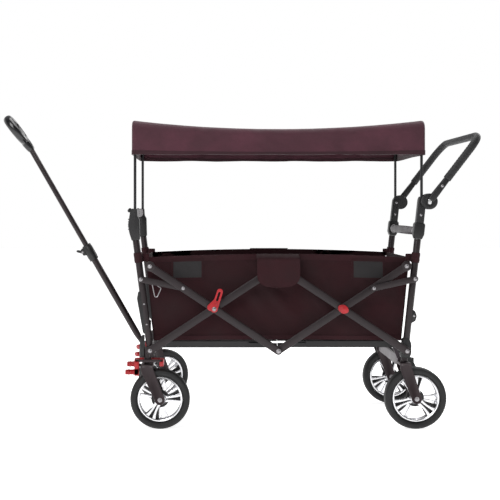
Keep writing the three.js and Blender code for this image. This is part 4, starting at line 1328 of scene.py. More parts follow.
# ------------------------------------------------------------------------------ scissors
@dataclass(frozen=True)
class ScissorSide:
    """The crossed bars, struts, latch and red cap of one side."""

    side: Side
    depth: float = 0.024
    strut_depth: float = 0.020
    strut_on_bar: float = 0.127
    latch_angle: float = math.radians(71.6)
    bar_rim: float = 2.6 * MM

    def span(self, inner: float, thickness: float = BAR_THICKNESS) -> tuple[float, float]:
        """A layer's span in a plate's own thickness direction, which is -Y."""
        return tuple(sorted((-self.side.value * inner, -self.side.value * (inner + thickness))))

    def layer_place(self, x: float, z: float, angle: float) -> Matrix:
        """A place on the cart's middle plane with its X axis along a bar."""
        return upright(RIG.at(x, 0, z), angle)

    def bars(self) -> None:
        """Builds the four flat oval bars."""
        label, angle, length = self.side.label, RIG.open_angle, RIG.bar_length
        low, high = RIG.pivot_z, RIG.pivot_z + RIG.rise
        rows = (
            ("front_rising", -RIG.half_span, low, angle, INNER_LAYER, None),
            ("front_falling", -RIG.half_span, high, -angle, OUTER_LAYER, 0.0),
            ("rear_rising", 0.0, low, angle, INNER_LAYER, length),
            ("rear_falling", 0.0, high, -angle, OUTER_LAYER, None),
        )
        for name, x, z, turn, layer, bracket in rows:
            span = self.span(layer)
            place = self.layer_place(x, z, turn)
            shape = Shape().plate(stadium(length, self.depth), *span, place, self.bar_rim, 3)
            if bracket is not None:
                eye = place @ Matrix.Translation((bracket, 0, 0))
                radius = self.depth / 2 + 4 * MM
                shape.plate(
                    arc((0, 0), radius, 0, 2 * math.pi * 27 / 28, 27),
                    span[0] - 0.05 * MM, span[1] + 0.05 * MM, eye, 2.4 * MM, 3,
                )
            shape.finish(
                f"scissor_{name}_{label}", Finish.FRAME, f"{name}_{label}",
                [f"bar_{name}_{label}"],
            )

    def struts(self) -> None:
        """Builds the short struts from the posts to the bars."""
        label = self.side.label
        top = RIG.pivot_z + RIG.rise
        for end in End:
            anchor = pivot_of(f"{end.label}_strut_{label}")
            start = Vector((anchor[0] - RIG.centre_x, anchor[2]))
            reach = self.strut_on_bar
            tip = Vector(
                (
                    end.value * (RIG.half_span - reach * math.cos(RIG.open_angle)),
                    top - reach * math.sin(RIG.open_angle),
                )
            )
            step = tip - start
            turn = math.atan2(step.y, step.x)
            layer = INNER_LAYER if end is End.FRONT else OUTER_LAYER
            Shape().plate(
                stadium(step.length, self.strut_depth), *self.span(layer),
                self.layer_place(start.x, start.y, turn), 2.4 * MM, 3,
            ).finish(
                f"post_strut_{end.label}_{label}", Finish.FRAME, f"{end.label}_strut_{label}",
                [f"strut_{end.label}_{label}"],
            )

    def latch(self) -> None:
        """Builds the red slotted lever on the front crossing and the cap on the rear one."""
        label = self.side.label
        middle = RIG.pivot_z + RIG.rise / 2
        slot = arc((54 * MM, 0), 3.6 * MM, -math.pi / 2, math.pi / 2, 6) + arc(
            (30 * MM, 0), 3.6 * MM, math.pi / 2, 1.5 * math.pi, 6
        )
        flare = [(30 * MM, 9.2 * MM), (2 * MM, 24 * MM), (-8 * MM, 20 * MM), (-10 * MM, 8 * MM)]
        outline = (
            arc((58 * MM, 0), 9.4 * MM, -math.pi / 2, math.pi / 2, 10)
            + rounded([(58 * MM, 9.2 * MM), *flare, (0, 0)], 4 * MM)[5:-5]
            + arc((0, 0), 11.5 * MM, math.radians(150), math.radians(290), 9)
        )
        place = self.layer_place(-RIG.half_span / 2, middle, self.latch_angle)
        lever = Shape().plate(
            outline, *self.span(LATCH_LAYER, 6 * MM), place, 1.6 * MM, 3, holes=[slot]
        )
        ridge = self.span(LATCH_LAYER + 5.6 * MM, 1.8 * MM)
        for offset in (12, 16, 20):
            lever.plate(
                [(offset * MM, -6 * MM), ((offset + 1.6) * MM, -6 * MM),
                 ((offset + 1.6) * MM, 6 * MM), (offset * MM, 6 * MM)],
                *ridge, place, 0.4 * MM, 1,
            )
        lever.finish(
            f"lock_lever_{label}", Finish.RED, f"latch_{label}", [f"latch_lever_{label}"]
        )
        sign = self.side.value
        face = OUTER_LAYER + BAR_THICKNESS + 3.2 * MM
        lozenge = rounded(
            [(-20 * MM, 1 * MM), (-6 * MM, 14 * MM), (12 * MM, 13 * MM), (21 * MM, 0),
             (8 * MM, -14 * MM), (-12 * MM, -12 * MM)], 7 * MM, 4,
        )
        cap = Shape().plate(
            lozenge, *self.span(face, 5.4 * MM),
            self.layer_place(RIG.half_span / 2, middle, -RIG.open_angle), 2.4 * MM, 3,
        )
        point = RIG.at(RIG.half_span / 2, sign * (face + 5.2 * MM), middle)
        cap.rivet(point, Y_AXIS * sign, 6.5 * MM, 1.6 * MM)
        cap.finish(
            f"red_cap_{label}", Finish.RED, f"rear_rising_{label}", [f"crossing_cap_{label}"]
        )

    def fasteners(self) -> None:
        """Builds the rivets and bolts, each on the body that holds it."""
        sign, label = self.side.value, self.side.label
        out = Y_AXIS * sign
        low, high = RIG.pivot_z, RIG.pivot_z + RIG.rise
        middle = (low + high) / 2
        span = RIG.half_span
        inner_face, outer_face = INNER_LAYER + BAR_THICKNESS, OUTER_LAYER + BAR_THICKNESS
        along = self.strut_on_bar
        cos, sin = math.cos(RIG.open_angle), math.sin(RIG.open_angle)
        rows = (
            (f"front_rising_{label}", [
                (-span / 2, middle, LATCH_LAYER + 6 * MM, 5.6), (0, high, outer_face, 6.0)]),
            (f"front_falling_{label}", [
                (-span, high, outer_face, 5.6),
                (-span + along * cos, high - along * sin, outer_face, 4.6)]),
            (f"rear_rising_{label}", [
                (0, low, outer_face, 6.0), (span, high, inner_face, 5.6),
                (span / 2, middle, outer_face, 7.0)]),
            (f"rear_strut_{label}", [(span - along * cos, high - along * sin, outer_face, 4.6)]),
        )
        for body, points in rows:
            shape = Shape()
            for x, z, face, radius in points:
                shape.rivet(RIG.at(x, sign * face, z), out, radius * MM, 3.0 * MM)
            shape.finish(f"rivets_{body}", Finish.STEEL, body)

    def build(self) -> None:
        """Builds everything on this side."""
        self.bars()
        self.struts()
        self.latch()
        self.fasteners()


# ------------------------------------------------------------------------------ end frames
def beside_post(
    start: tuple[float, float], lean: float, aside: float, along: float
) -> tuple[float, float]:
    """A point in X and Z beside a leaning post.

    Args:
        start: the X and Z of the post's end.
        lean: how far the post leans backwards, in radians.
        aside: the distance across the post.
        along: the distance along it.

    Returns:
        The point.
    """
    return (
        start[0] + aside * math.cos(lean) + along * math.sin(lean),
        start[1] - aside * math.sin(lean) + along * math.cos(lean),
    )


@dataclass(frozen=True)
class FrontFrame:
    """The front posts, caster housings, blocks and cross bars."""

    housing_radius: float = 0.013
    housing: tuple[float, float] = (0.212, 0.262)
    block_height: float = 0.076
    bracket_height: float = 0.026
    lean: float = -math.radians(7.4)

    def post(self, side: Side) -> None:
        """Builds one post with its housing and studs."""
        y = side.value * RIG.track
        foot = RIG.pivot_z - 0.022
        shape = Shape()
        path = [RIG.at(RIG.front_post_x(z), y, z) for z in (foot, FRONT_POST_END)]
        shape.tube(
            path_stations(path, X_AXIS, even(POST_RADIUS)), 24, cap=0.1
        )
        low, high = self.housing
        r = self.housing_radius
        caster_x = -RIG.half_span - 0.008
        housing = [
            (7 * MM, low), (r - 1 * MM, low), (r, low + 1 * MM), (r, low + 7 * MM),
            (r - 1.2 * MM, low + 8.4 * MM), (r - 1.2 * MM, high - 8 * MM), (r, high - 6.6 * MM),
            (r, high - 1.5 * MM), (r - 1.5 * MM, high), (0, high + 0.3 * MM),
        ]
        shape.lathe(housing, Matrix.Translation(RIG.at(caster_x, y, 0)), 32)
        shape.finish(
            f"front_post_tube_{side.label}", Finish.FRAME, "front_frame",
            [f"front_post_{side.label}"],
        )
        out = Y_AXIS * side.value
        inner_face = INNER_LAYER + BAR_THICKNESS
        strut = pivot_of(f"front_strut_{side.label}")
        pins = Shape()
        for x, z in ((-RIG.half_span, RIG.pivot_z), (strut[0] - RIG.centre_x, strut[2])):
            pins.rod(
                RIG.at(x, y, z), RIG.at(x, side.value * (inner_face + 0.2 * MM), z), 4 * MM
            )
            pins.rivet(RIG.at(x, side.value * inner_face, z), out, 5.4 * MM, 3.0 * MM)
        face = side.value * (RIG.track + POST_RADIUS - 0.6 * MM)
        for z in (0.335, 0.40):
            pins.rivet(RIG.at(RIG.front_post_x(z), face, z), out, 2.6 * MM, 2.0 * MM)
        pins.finish(f"front_post_rivets_{side.label}", Finish.STEEL, "front_frame")

    def fittings(self, side: Side) -> None:
        """Builds the black block, sleeve and foot lug of one post."""
        y = side.value * RIG.track
        top = FRONT_POST_END + self.block_height
        start = (RIG.front_post_x(FRONT_POST_END), FRONT_POST_END)
        x = FRONT_ROD_X
        outline = [
            beside_post(start, self.lean, -13 * MM, 0.3 * MM),
            beside_post(start, self.lean, 13 * MM, 0.3 * MM),
            (x + 14 * MM, top - 8 * MM), (x + 8 * MM, top), (x + 6 * MM, top + 26 * MM),
            (x - 14 * MM, top + 26 * MM), (x - 18 * MM, top), (x - 22 * MM, top - 26 * MM),
            (x - 18 * MM, FRONT_POST_END + 24 * MM),
        ]
        stand = upright(RIG.at(0, 0, 0))
        half = 13 * MM
        shape = Shape().plate(rounded(outline, 4 * MM, 3), *slab(y, half), stand, 2.4 * MM, 3)
        for index in range(5):
            z = top - 10 * MM - index * 8 * MM
            edge = x - 20.5 * MM
            shape.block(
                RIG.at(edge - 1.6 * MM, y - half + 3 * MM, z),
                RIG.at(edge + 4 * MM, y + half - 3 * MM, z + 3.4 * MM), 1.0 * MM,
            )
        knob = facing(
            RIG.at(x - 14 * MM, y, top + 18 * MM), Vector((-0.8, 0, 0.6))
        )
        shape.lathe(
            [(0, 0), (6 * MM, 0), (7.2 * MM, 2 * MM), (7.2 * MM, 7 * MM), (5 * MM, 9.4 * MM),
             (0, 10 * MM)], knob, 24,
        )
        sleeve_low, sleeve_high = 0.300, 0.440
        front_x = [RIG.front_post_x(z) - POST_RADIUS for z in (sleeve_low, sleeve_high)]
        clip = [
            (front_x[0] + 7 * MM, sleeve_low), (front_x[0] - 6 * MM, sleeve_low + 8 * MM),
            (front_x[1] - 7 * MM, sleeve_high - 22 * MM), (front_x[1] - 3 * MM, sleeve_high),
            (front_x[1] + 6 * MM, sleeve_high),
        ]
        shape.plate(rounded(clip, 4 * MM, 3), *slab(y, 9 * MM), stand, 1.6 * MM, 2)
        lug_x = -RIG.half_span - 0.008
        lug = [
            (lug_x - 12 * MM, 0.226), (lug_x - 24 * MM, 0.236), (lug_x - 25 * MM, 0.285),
            (lug_x - 18 * MM, 0.300), (lug_x - 10 * MM, 0.300),
        ]
        shape.plate(rounded(lug, 4 * MM, 3), *slab(y, 8 * MM), stand, 1.6 * MM, 2)
        shape.finish(
            f"front_block_{side.label}", Finish.BLACK, "front_frame",
            [f"post_block_{side.label}"],
        )
        hook = [
            RIG.at(-0.404, side.value * 0.229, 0.470), RIG.at(-0.374, side.value * 0.229, 0.452),
            RIG.at(-0.392, side.value * 0.229, 0.412), RIG.at(-0.404, side.value * 0.229, 0.470),
        ]
        path = resampled(bent_path(hook, 5 * MM, 4), 10 * MM)[:-1]
        Shape().tube(
            path_stations(path, Y_AXIS, even(1.6 * MM), closed=True), 8, True
        ).finish(f"wire_hook_{side.label}", Finish.STEEL, "front_frame")

    def cross_bars(self) -> None:
        """Builds the oval top bar; the bottom bar keeps its CAD shape."""
        top = FRONT_POST_END + self.block_height + self.bracket_height - 15 * MM
        reach = RIG.track - 13.3 * MM
        path = resampled(
            [RIG.at(FRONT_ROD_X - 4 * MM, y, top) for y in (-reach, reach)], 40 * MM
        )
        Shape().tube(
            path_stations(path, X_AXIS, even(7 * MM, 15 * MM)), 28, cap=0.0
        ).finish("front_grip_bar", Finish.GREY_METAL, "front_frame", ["front_top_bar"])

    def build(self) -> None:
        """Builds the front frame."""
        for side in Side:
            self.post(side)
            self.fittings(side)
        self.cross_bars()


@dataclass(frozen=True)
class RearFrame:
    """The rear posts, masts, forks, wheels and grab bar."""

    wheel_radius: float = 0.099
    axle_behind: float = 0.031
    crown: tuple[float, float] = (RIG.half_span - 0.022, RIG.half_span + 0.015)
    mast_half: float = 0.013
    lean: float = math.radians(6.3)

    def post(self, side: Side) -> None:
        """Builds one post with its bosses, lugs and rivets."""
        sign = side.value
        y = sign * RIG.track
        foot = REAR_CROWN_TOP + 0.3 * MM
        path = [RIG.at(RIG.rear_post_x(z), y, z) for z in (foot, REAR_POST_END)]
        shape = Shape().tube(
            path_stations(path, X_AXIS, even(POST_RADIUS)), 24, cap=0.1
        )
        shape.finish(
            f"rear_post_tube_{side.label}", Finish.FRAME, "rear_frame",
            [f"rear_post_{side.label}"],
        )
        strut = pivot_of(f"rear_strut_{side.label}")
        strut_x, strut_z = strut[0] - RIG.centre_x, strut[2]
        out = Y_AXIS * sign
        face = OUTER_LAYER + BAR_THICKNESS
        plastic, pins = Shape(), Shape()
        for x, z, radius in ((RIG.half_span, RIG.pivot_z, 13.0), (strut_x, strut_z, 9.0)):
            boss = [
                (0, 0), (radius * MM, 0), (radius * MM, 12 * MM), ((radius - 1.5) * MM, 13.4 * MM),
                (0, 13.4 * MM),
            ]
            plastic.lathe(boss, facing(RIG.at(x, sign * (RIG.track + 11 * MM), z), out), 32)
            pins.rod(RIG.at(x, y, z), RIG.at(x, sign * (face + 0.2 * MM), z), 4 * MM)
            pins.rivet(RIG.at(x, sign * face, z), out, 5.4 * MM, 3.2 * MM)
        stand = upright(RIG.at(0, 0, 0))
        foot_x = RIG.half_span
        lug = [
            (foot_x - 17 * MM, 0.228), (foot_x + 10 * MM, 0.226), (foot_x + 17 * MM, 0.240),
            (foot_x + 18 * MM, 0.272), (foot_x + 10 * MM, 0.292), (foot_x - 10 * MM, 0.290),
        ]
        plastic.plate(rounded(lug, 6 * MM, 4), *slab(y, 13 * MM), stand, 2.0 * MM, 3)
        nub_x = RIG.rear_post_x(0.36)
        nub = [
            (nub_x + 6 * MM, 0.338), (nub_x + 20 * MM, 0.346), (nub_x + 24 * MM, 0.362),
            (nub_x + 18 * MM, 0.378), (nub_x + 7 * MM, 0.384),
        ]
        plastic.plate(rounded(nub, 4 * MM, 3), *slab(y, 8 * MM), stand, 1.6 * MM, 2)
        plastic.finish(f"rear_post_lugs_{side.label}", Finish.BLACK, "rear_frame")
        pins.rivet(RIG.at(nub_x + 15 * MM, sign * (RIG.track + 8 * MM), 0.362), out, 3 * MM, 2 * MM)
        pins.finish(f"rear_post_rivets_{side.label}", Finish.STEEL, "rear_frame")

    def mast(self, side: Side) -> None:
        """Builds one mast: tapered collar, fluted sleeve and the joint's round housing."""
        sign = side.value
        y = sign * RIG.track
        half = self.mast_half
        length = MAST_TOP - REAR_POST_END
        start = (RIG.rear_post_x(REAR_POST_END), REAR_POST_END)
        stand = upright(RIG.at(0, 0, 0))

        def at(aside: float, along: float) -> tuple[float, float]:
            """A point beside the mast, in millimetres across and metres along."""
            return beside_post(start, self.lean, aside * MM, along)

        collar = [
            at(-11, 0.3 * MM), at(11, 0.3 * MM), at(17, 0.016), at(17, 0.048), at(13.5, 0.053),
            at(-13.5, 0.053), at(-17, 0.048), at(-17, 0.014),
        ]
        shape = Shape().plate(
            rounded(collar, 3 * MM, 2), *slab(y, half + 2 * MM), stand, 2.2 * MM, 3
        )
        sleeve = [
            at(-12.4, 0.020), at(12.4, 0.020), at(12.0, length - 0.012), at(7, length),
            at(-9, length), at(-12.4, length - 0.010),
        ]
        shape.plate(rounded(sleeve, 3 * MM, 3), *slab(y, half), stand, 4.0 * MM, 4)
        for aside in (-6.4, 6.4):
            rib = [
                at(aside - 0.9, 0.060), at(aside + 0.9, 0.060),
                at(aside + 0.9, length - 0.018), at(aside - 0.9, length - 0.018),
            ]
            shape.plate(rib, *slab(y, half + 0.9 * MM), stand, 0.6 * MM, 1)
        pivot = PUSH.pivot
        disc = [
            (0, 0), (25 * MM, 0), (25.5 * MM, 1 * MM), (25.5 * MM, 23 * MM), (24 * MM, 24.9 * MM),
            (0, 24.9 * MM),
        ]
        inner = RIG.at(pivot[0], sign * (RIG.track - 0.1 * MM), pivot[1])
        shape.lathe(disc, facing(inner, Y_AXIS * sign), 48)
        shape.finish(
            f"mast_moulding_{side.label}", Finish.BLACK, "rear_frame", [f"mast_{side.label}"]
        )
        pins = Shape()
        for along in (0.078, 0.120):
            x, z = at(0, along)
            for face in (-1, 1):
                point = RIG.at(x, y + face * (half - 0.2 * MM), z)
                pins.rivet(point, Y_AXIS * face, 3.4 * MM, 1.8 * MM)
        pins.finish(f"mast_rivets_{side.label}", Finish.STEEL, "rear_frame")

    def grab_bar(self) -> None:
        """Builds the fat oval grab bar with a light ring and dark socket at each end."""
        z = REAR_POST_END + 26 * MM
        x = RIG.rear_post_x(z) - 4 * MM
        reach = RIG.track - self.mast_half - 2.3 * MM

        def path(low: float, high: float) -> list[Vector]:
            """The bar's axis between two distances from the middle plane."""
            return resampled([RIG.at(x, low, z), RIG.at(x, high, z)], 40 * MM)

        Shape().tube(
            path_stations(
                path(-reach + 24 * MM, reach - 24 * MM), X_AXIS,
                lambda t: (9.6 * MM, (13.0 + 1.0 * math.sin(math.pi * t)) * MM),
            ), 28, cap=0.1,
        ).finish("grab_bar_sleeve", Finish.GREY_METAL, "rear_frame", ["rear_grab_bar"])
        rings, sockets = Shape(), Shape()
        for sign in (-1, 1):
            ring = sorted((sign * (reach - 24 * MM), sign * (reach - 14 * MM)))
            rings.tube(path_stations(path(*ring), X_AXIS, even(10.4 * MM, 14.8 * MM)), 28)
            socket = sorted((sign * (reach - 14 * MM), sign * (reach - 0.2 * MM)))
            sockets.tube(path_stations(path(*socket), X_AXIS, even(9 * MM, 13.4 * MM)), 28)
        rings.finish("grab_bar_rings", Finish.STEEL, "rear_frame")
        sockets.finish("grab_bar_sockets", Finish.BLACK, "rear_frame")

    def build(self) -> None:
        """Builds the rear frame and its wheels."""
        for side in Side:
            self.post(side)
            self.mast(side)
            y = side.value * RIG.track
            hub = RIG.at(RIG.half_span + self.axle_behind, y, self.wheel_radius)
            Wheel(
                f"rear_{side.label}", f"rear_wheel_{side.label}", hub, self.wheel_radius, 0.0,
                math.radians(78),
            ).build()
            Fork(
                f"rear_{side.label}", "rear_frame", Matrix.Translation(RIG.at(0, y, 0)),
                REAR_CROWN_TOP, self.crown, (RIG.half_span + self.axle_behind, self.wheel_radius),
                f"rear_fork_{side.label}",
            ).build()
            ear = Shape().block(
                RIG.at(RIG.half_span - 6 * MM, y - side.value * 17 * MM - 2.5 * MM, 0.212),
                RIG.at(RIG.half_span + 10 * MM, y - side.value * 17 * MM + 2.5 * MM, 0.229),
                1.5 * MM,
            )
            ear.finish(f"brake_ear_{side.label}", Finish.FORK, "rear_frame")
        self.grab_bar()


# ------------------------------------------------------------------------------ push handle
@dataclass(frozen=True)
class PushHandle:
    """The folding push handle: two plastic arms, a foam loop and its release buttons."""

    pivot: tuple[float, float]
    angle: float = math.radians(37.5)
    arm: float = 0.268
    bend: float = 0.060
    half_width: float = 0.2509
    tube: tuple[float, float] = (0.0100, 0.0128)
    disc_radius: float = 0.0255
    disc: tuple[float, float] = (0.2403, 0.2523)
    foam_from: float = 0.088

    @classmethod
    def from_frame(cls) -> "PushHandle":
        """Reads the pivot from the frame."""
        x, _, z = pivot_of("push_tilt")
        return cls((x - RIG.centre_x, z))

    @property
    def place(self) -> Matrix:
        """The pivot, with local +Z along the arms."""
        point = RIG.at(self.pivot[0], 0, self.pivot[1])
        return Matrix.Translation(point) @ Matrix.Rotation(self.angle, 4, "Y")

    def build(self) -> None:
        """Builds the loop, arms, joint halves and buttons."""
        y = self.half_width
        corners = [
            Vector((0, -y, self.foam_from)), Vector((0, -y, self.arm)), Vector((0, y, self.arm)),
            Vector((0, y, self.foam_from)),
        ]
        path = resampled(bent_path(corners, self.bend, 14), 3.2 * MM)

        def section(share: float) -> tuple[float, float]:
            """The foam's half depth and width, with shallow finger rings on its arms."""
            run = min(share, 1 - share)
            ringed = 0.012 < run < 0.20
            dip = 0.75 * MM * max(0.0, math.cos(run * 2 * math.pi * 85)) if ringed else 0.0
            return self.tube[1] - dip, self.tube[0] - dip

        rings = moved(self.place, path_stations(path, X_AXIS, section))
        Shape().tube(rings, 20, cap=0.3).finish(
            "push_loop_foam", Finish.FOAM, "push_handle", ["push_handle"]
        )
        arms, pins = Shape(), Shape()
        stand = self.place @ UPRIGHT
        for side in Side:
            sign = side.value
            low, high = sorted((-sign * self.disc[0], -sign * self.disc[1]))
            ring = arc((0, 0), self.disc_radius, 0, 2 * math.pi * 47 / 48, 47)
            hole = oval(24 * MM, 24 * MM, 32)
            arms.plate(ring, low, high, stand, 1.6 * MM, 3)
            out_face = -sign * (self.disc[1] + 1.4 * MM)
            lip_low, lip_high = sorted((-sign * (self.disc[1] - 1 * MM), out_face))
            arms.plate(
                oval(45 * MM, 45 * MM, 44), lip_low, lip_high, stand, 0.8 * MM, 2, holes=[hole]
            )
            neck = rounded(
                [(-11 * MM, 4 * MM), (11 * MM, 4 * MM), (10.6 * MM, 40 * MM),
                 (9.2 * MM, self.foam_from + 2 * MM), (-9.2 * MM, self.foam_from + 2 * MM),
                 (-10.6 * MM, 40 * MM)], 3 * MM, 2,
            )
            thick = sorted((-sign * (y - 9.6 * MM), -sign * (y + 8.2 * MM)))
            arms.plate(neck, *thick, stand, 4.5 * MM, 4)
            point = self.place @ Vector((0, sign * (y + 8.0 * MM), 62 * MM))
            pins.rivet(point, Y_AXIS * sign, 4.2 * MM, 2.4 * MM)
            button = Shape().plate(
                stadium(7 * MM, 12 * MM, 10), *sorted(
                    (-sign * (self.disc[1] - 1 * MM), -sign * (self.disc[1] + 3.4 * MM))
                ),
                stand @ Matrix.Rotation(math.radians(-62), 4, "Z") @ Matrix.Translation(
                    (-3.5 * MM, 0, 0)
                ),
                1.6 * MM, 3,
            )
            button.finish(
                f"push_button_{side.label}", Finish.BUTTON, f"button_{side.label}",
                [f"release_button_{side.label}"],
            )
        arms.finish("push_arm_mouldings", Finish.BLACK, "push_handle")
        pins.finish("push_arm_rivets", Finish.STEEL, "push_handle")


PUSH = PushHandle.from_frame()


# ------------------------------------------------------------------------------ pull handle
@dataclass(frozen=True)
class PullHandle:
    """The telescopic pull handle: two tubes, collar with its clamp, and the hand loop."""

    angle: float = math.radians(29.9)
    lower: float = 0.380
    shown: float = 0.385
    lower_radius: float = 0.011
    upper_radius: float = 0.009
    collar_radius: float = 0.0165
    grip_bend: float = math.radians(7.7)
    grip_length: float = 0.140
    grip_half: float = 0.0525

    @property
    def place(self) -> Matrix:
        """The foot's pivot, with local +Z along the tube."""
        foot = Matrix.Translation(Vector(pivot_of("pull_tilt")))
        return foot @ Matrix.Rotation(-self.angle, 4, "Y")

    def tubes(self) -> None:
        """Builds the flattened foot, the outer tube and the inner tube."""
        place = self.place
        r = self.lower_radius

        def foot(share: float) -> tuple[float, float]:
            """The outer tube's section: flat at the pivot, round above it."""
            round_part = min(1.0, max(0.0, (share * self.lower - 0.012) / 0.03))
            return (7 * MM + (r - 7 * MM) * round_part, 7 * MM + (r - 7 * MM) * round_part)

        path = resampled([Vector((0, 0, -6 * MM)), Vector((0, 0, self.lower))], 12 * MM)
        outer = Shape().tube(moved(place, path_stations(path, X_AXIS, foot)), 24, cap=0.2)
        outer.finish("pull_tube_outer", Finish.FRAME, "pull_lower", ["pull_tube_lower"])
        upper = [Vector((0, 0, self.lower - 0.06)), Vector((0, 0, self.lower + self.shown))]
        stations = path_stations(upper, X_AXIS, even(self.upper_radius))
        Shape().tube(moved(place, stations), 24, cap=0.1).finish(
            "pull_tube_inner", Finish.FRAME, "pull_upper", ["pull_tube_upper"]
        )

    def clamp(self) -> None:
        """Builds the collar with its ears and the flip lever."""
        top = self.lower + 8 * MM
        low = top - 58 * MM
        r = self.collar_radius
        profile = [
            (11.2 * MM, low), (r - 2 * MM, low), (r - 0.8 * MM, low + 2 * MM),
            (r - 0.8 * MM, low + 9 * MM), (r, low + 11 * MM), (r, top - 12 * MM),
            (r - 1 * MM, top - 10 * MM), (r - 1 * MM, top - 2 * MM), (r - 3 * MM, top),
            (9.2 * MM, top),
        ]
        shape = Shape().lathe(profile, self.place, 32)
        stand = self.place @ UPRIGHT
        for y0, y1 in ((-9, -5), (5, 9)):
            ear = rounded(
                [(-r - 9 * MM, self.lower - 20 * MM), (-8 * MM, self.lower - 26 * MM),
                 (-8 * MM, self.lower + 6 * MM), (-r - 9 * MM, self.lower + 2 * MM)], 4 * MM, 3,
            )
            shape.plate(ear, y0 * MM, y1 * MM, stand, 0.9 * MM, 2)
        shape.finish("clamp_collar", Finish.BLACK, "pull_lower")
        pivot = Vector((-22 * MM, 0, self.lower - 8 * MM))
        lever_place = self.place @ Matrix.Translation(pivot) @ UPRIGHT
        blade = [
            (-4.6 * MM, -3 * MM), (3.5 * MM, -3.6 * MM), (4.4 * MM, 2 * MM), (0, 5 * MM),
            (-11 * MM, 15 * MM), (-17 * MM, 15.5 * MM), (-18 * MM, 10 * MM),
        ]
        lever = Shape().plate(rounded(blade, 3 * MM, 3), -4.5 * MM, 4.5 * MM, lever_place, 1.2 * MM)
        lever.finish("clamp_flip_lever", Finish.BLACK, "clamp", ["pull_clamp_lever"])
        pins = Shape()
        for sign in (-1, 1):
            point = self.place @ (pivot + Y_AXIS * sign * 9 * MM)
            pins.rivet(point, Y_AXIS * sign, 3.4 * MM, 1.6 * MM)
        pins.finish("clamp_pin", Finish.STEEL, "pull_lower")

    def grip(self) -> None:
        """Builds the glossy hand loop: a tapered neck that opens into one rounded ring."""
        base = self.lower + self.shown + 2.3 * MM
        place = self.place @ Matrix.Translation((0, 0, base)) @ Matrix.Rotation(
            -self.grip_bend, 4, "Y"
        )
        neck = [
            (0, -6 * MM), (10.5 * MM, -6 * MM), (12.6 * MM, -2 * MM), (14.0 * MM, 8 * MM),
            (15.2 * MM, 22 * MM), (14.6 * MM, 34 * MM), (9.0 * MM, 46 * MM), (0, 50 * MM),
        ]
        half, length = self.grip_half, self.grip_length

        def ring_point(turn: float) -> Vector:
            """A point on the ring's middle line, narrower towards the neck."""
            z = 0.5 * (36 * MM + length - 11 * MM) - 0.5 * (length - 47 * MM) * math.cos(turn)
            pinch = 1 - 0.16 * (0.5 + 0.5 * math.cos(turn)) ** 1.5
            return Vector((0, (half - 12 * MM) * pinch * math.sin(turn), z))

        steps = 72
        path = [ring_point(2 * math.pi * step / steps) for step in range(steps)]

        def section(share: float) -> tuple[float, float]:
            """The ring's half thickness and half width: fattest at the neck."""
            near_neck = 0.5 + 0.5 * math.cos(2 * math.pi * share)
            return (15.0 * MM - 0.5 * MM * near_neck, 11.5 * MM + 5.5 * MM * near_neck**2)

        stations = path_stations(path, X_AXIS, section, closed=True)
        shape = Shape().tube(moved(place, stations), 24, closed=True)
        shape.lathe(neck, place, 32)
        shape.finish("pull_hand_loop", Finish.GLOSS, "pull_upper", ["pull_grip"])

    def build(self) -> None:
        """Builds the whole pull handle."""
        self.tubes()
        self.clamp()
        self.grip()


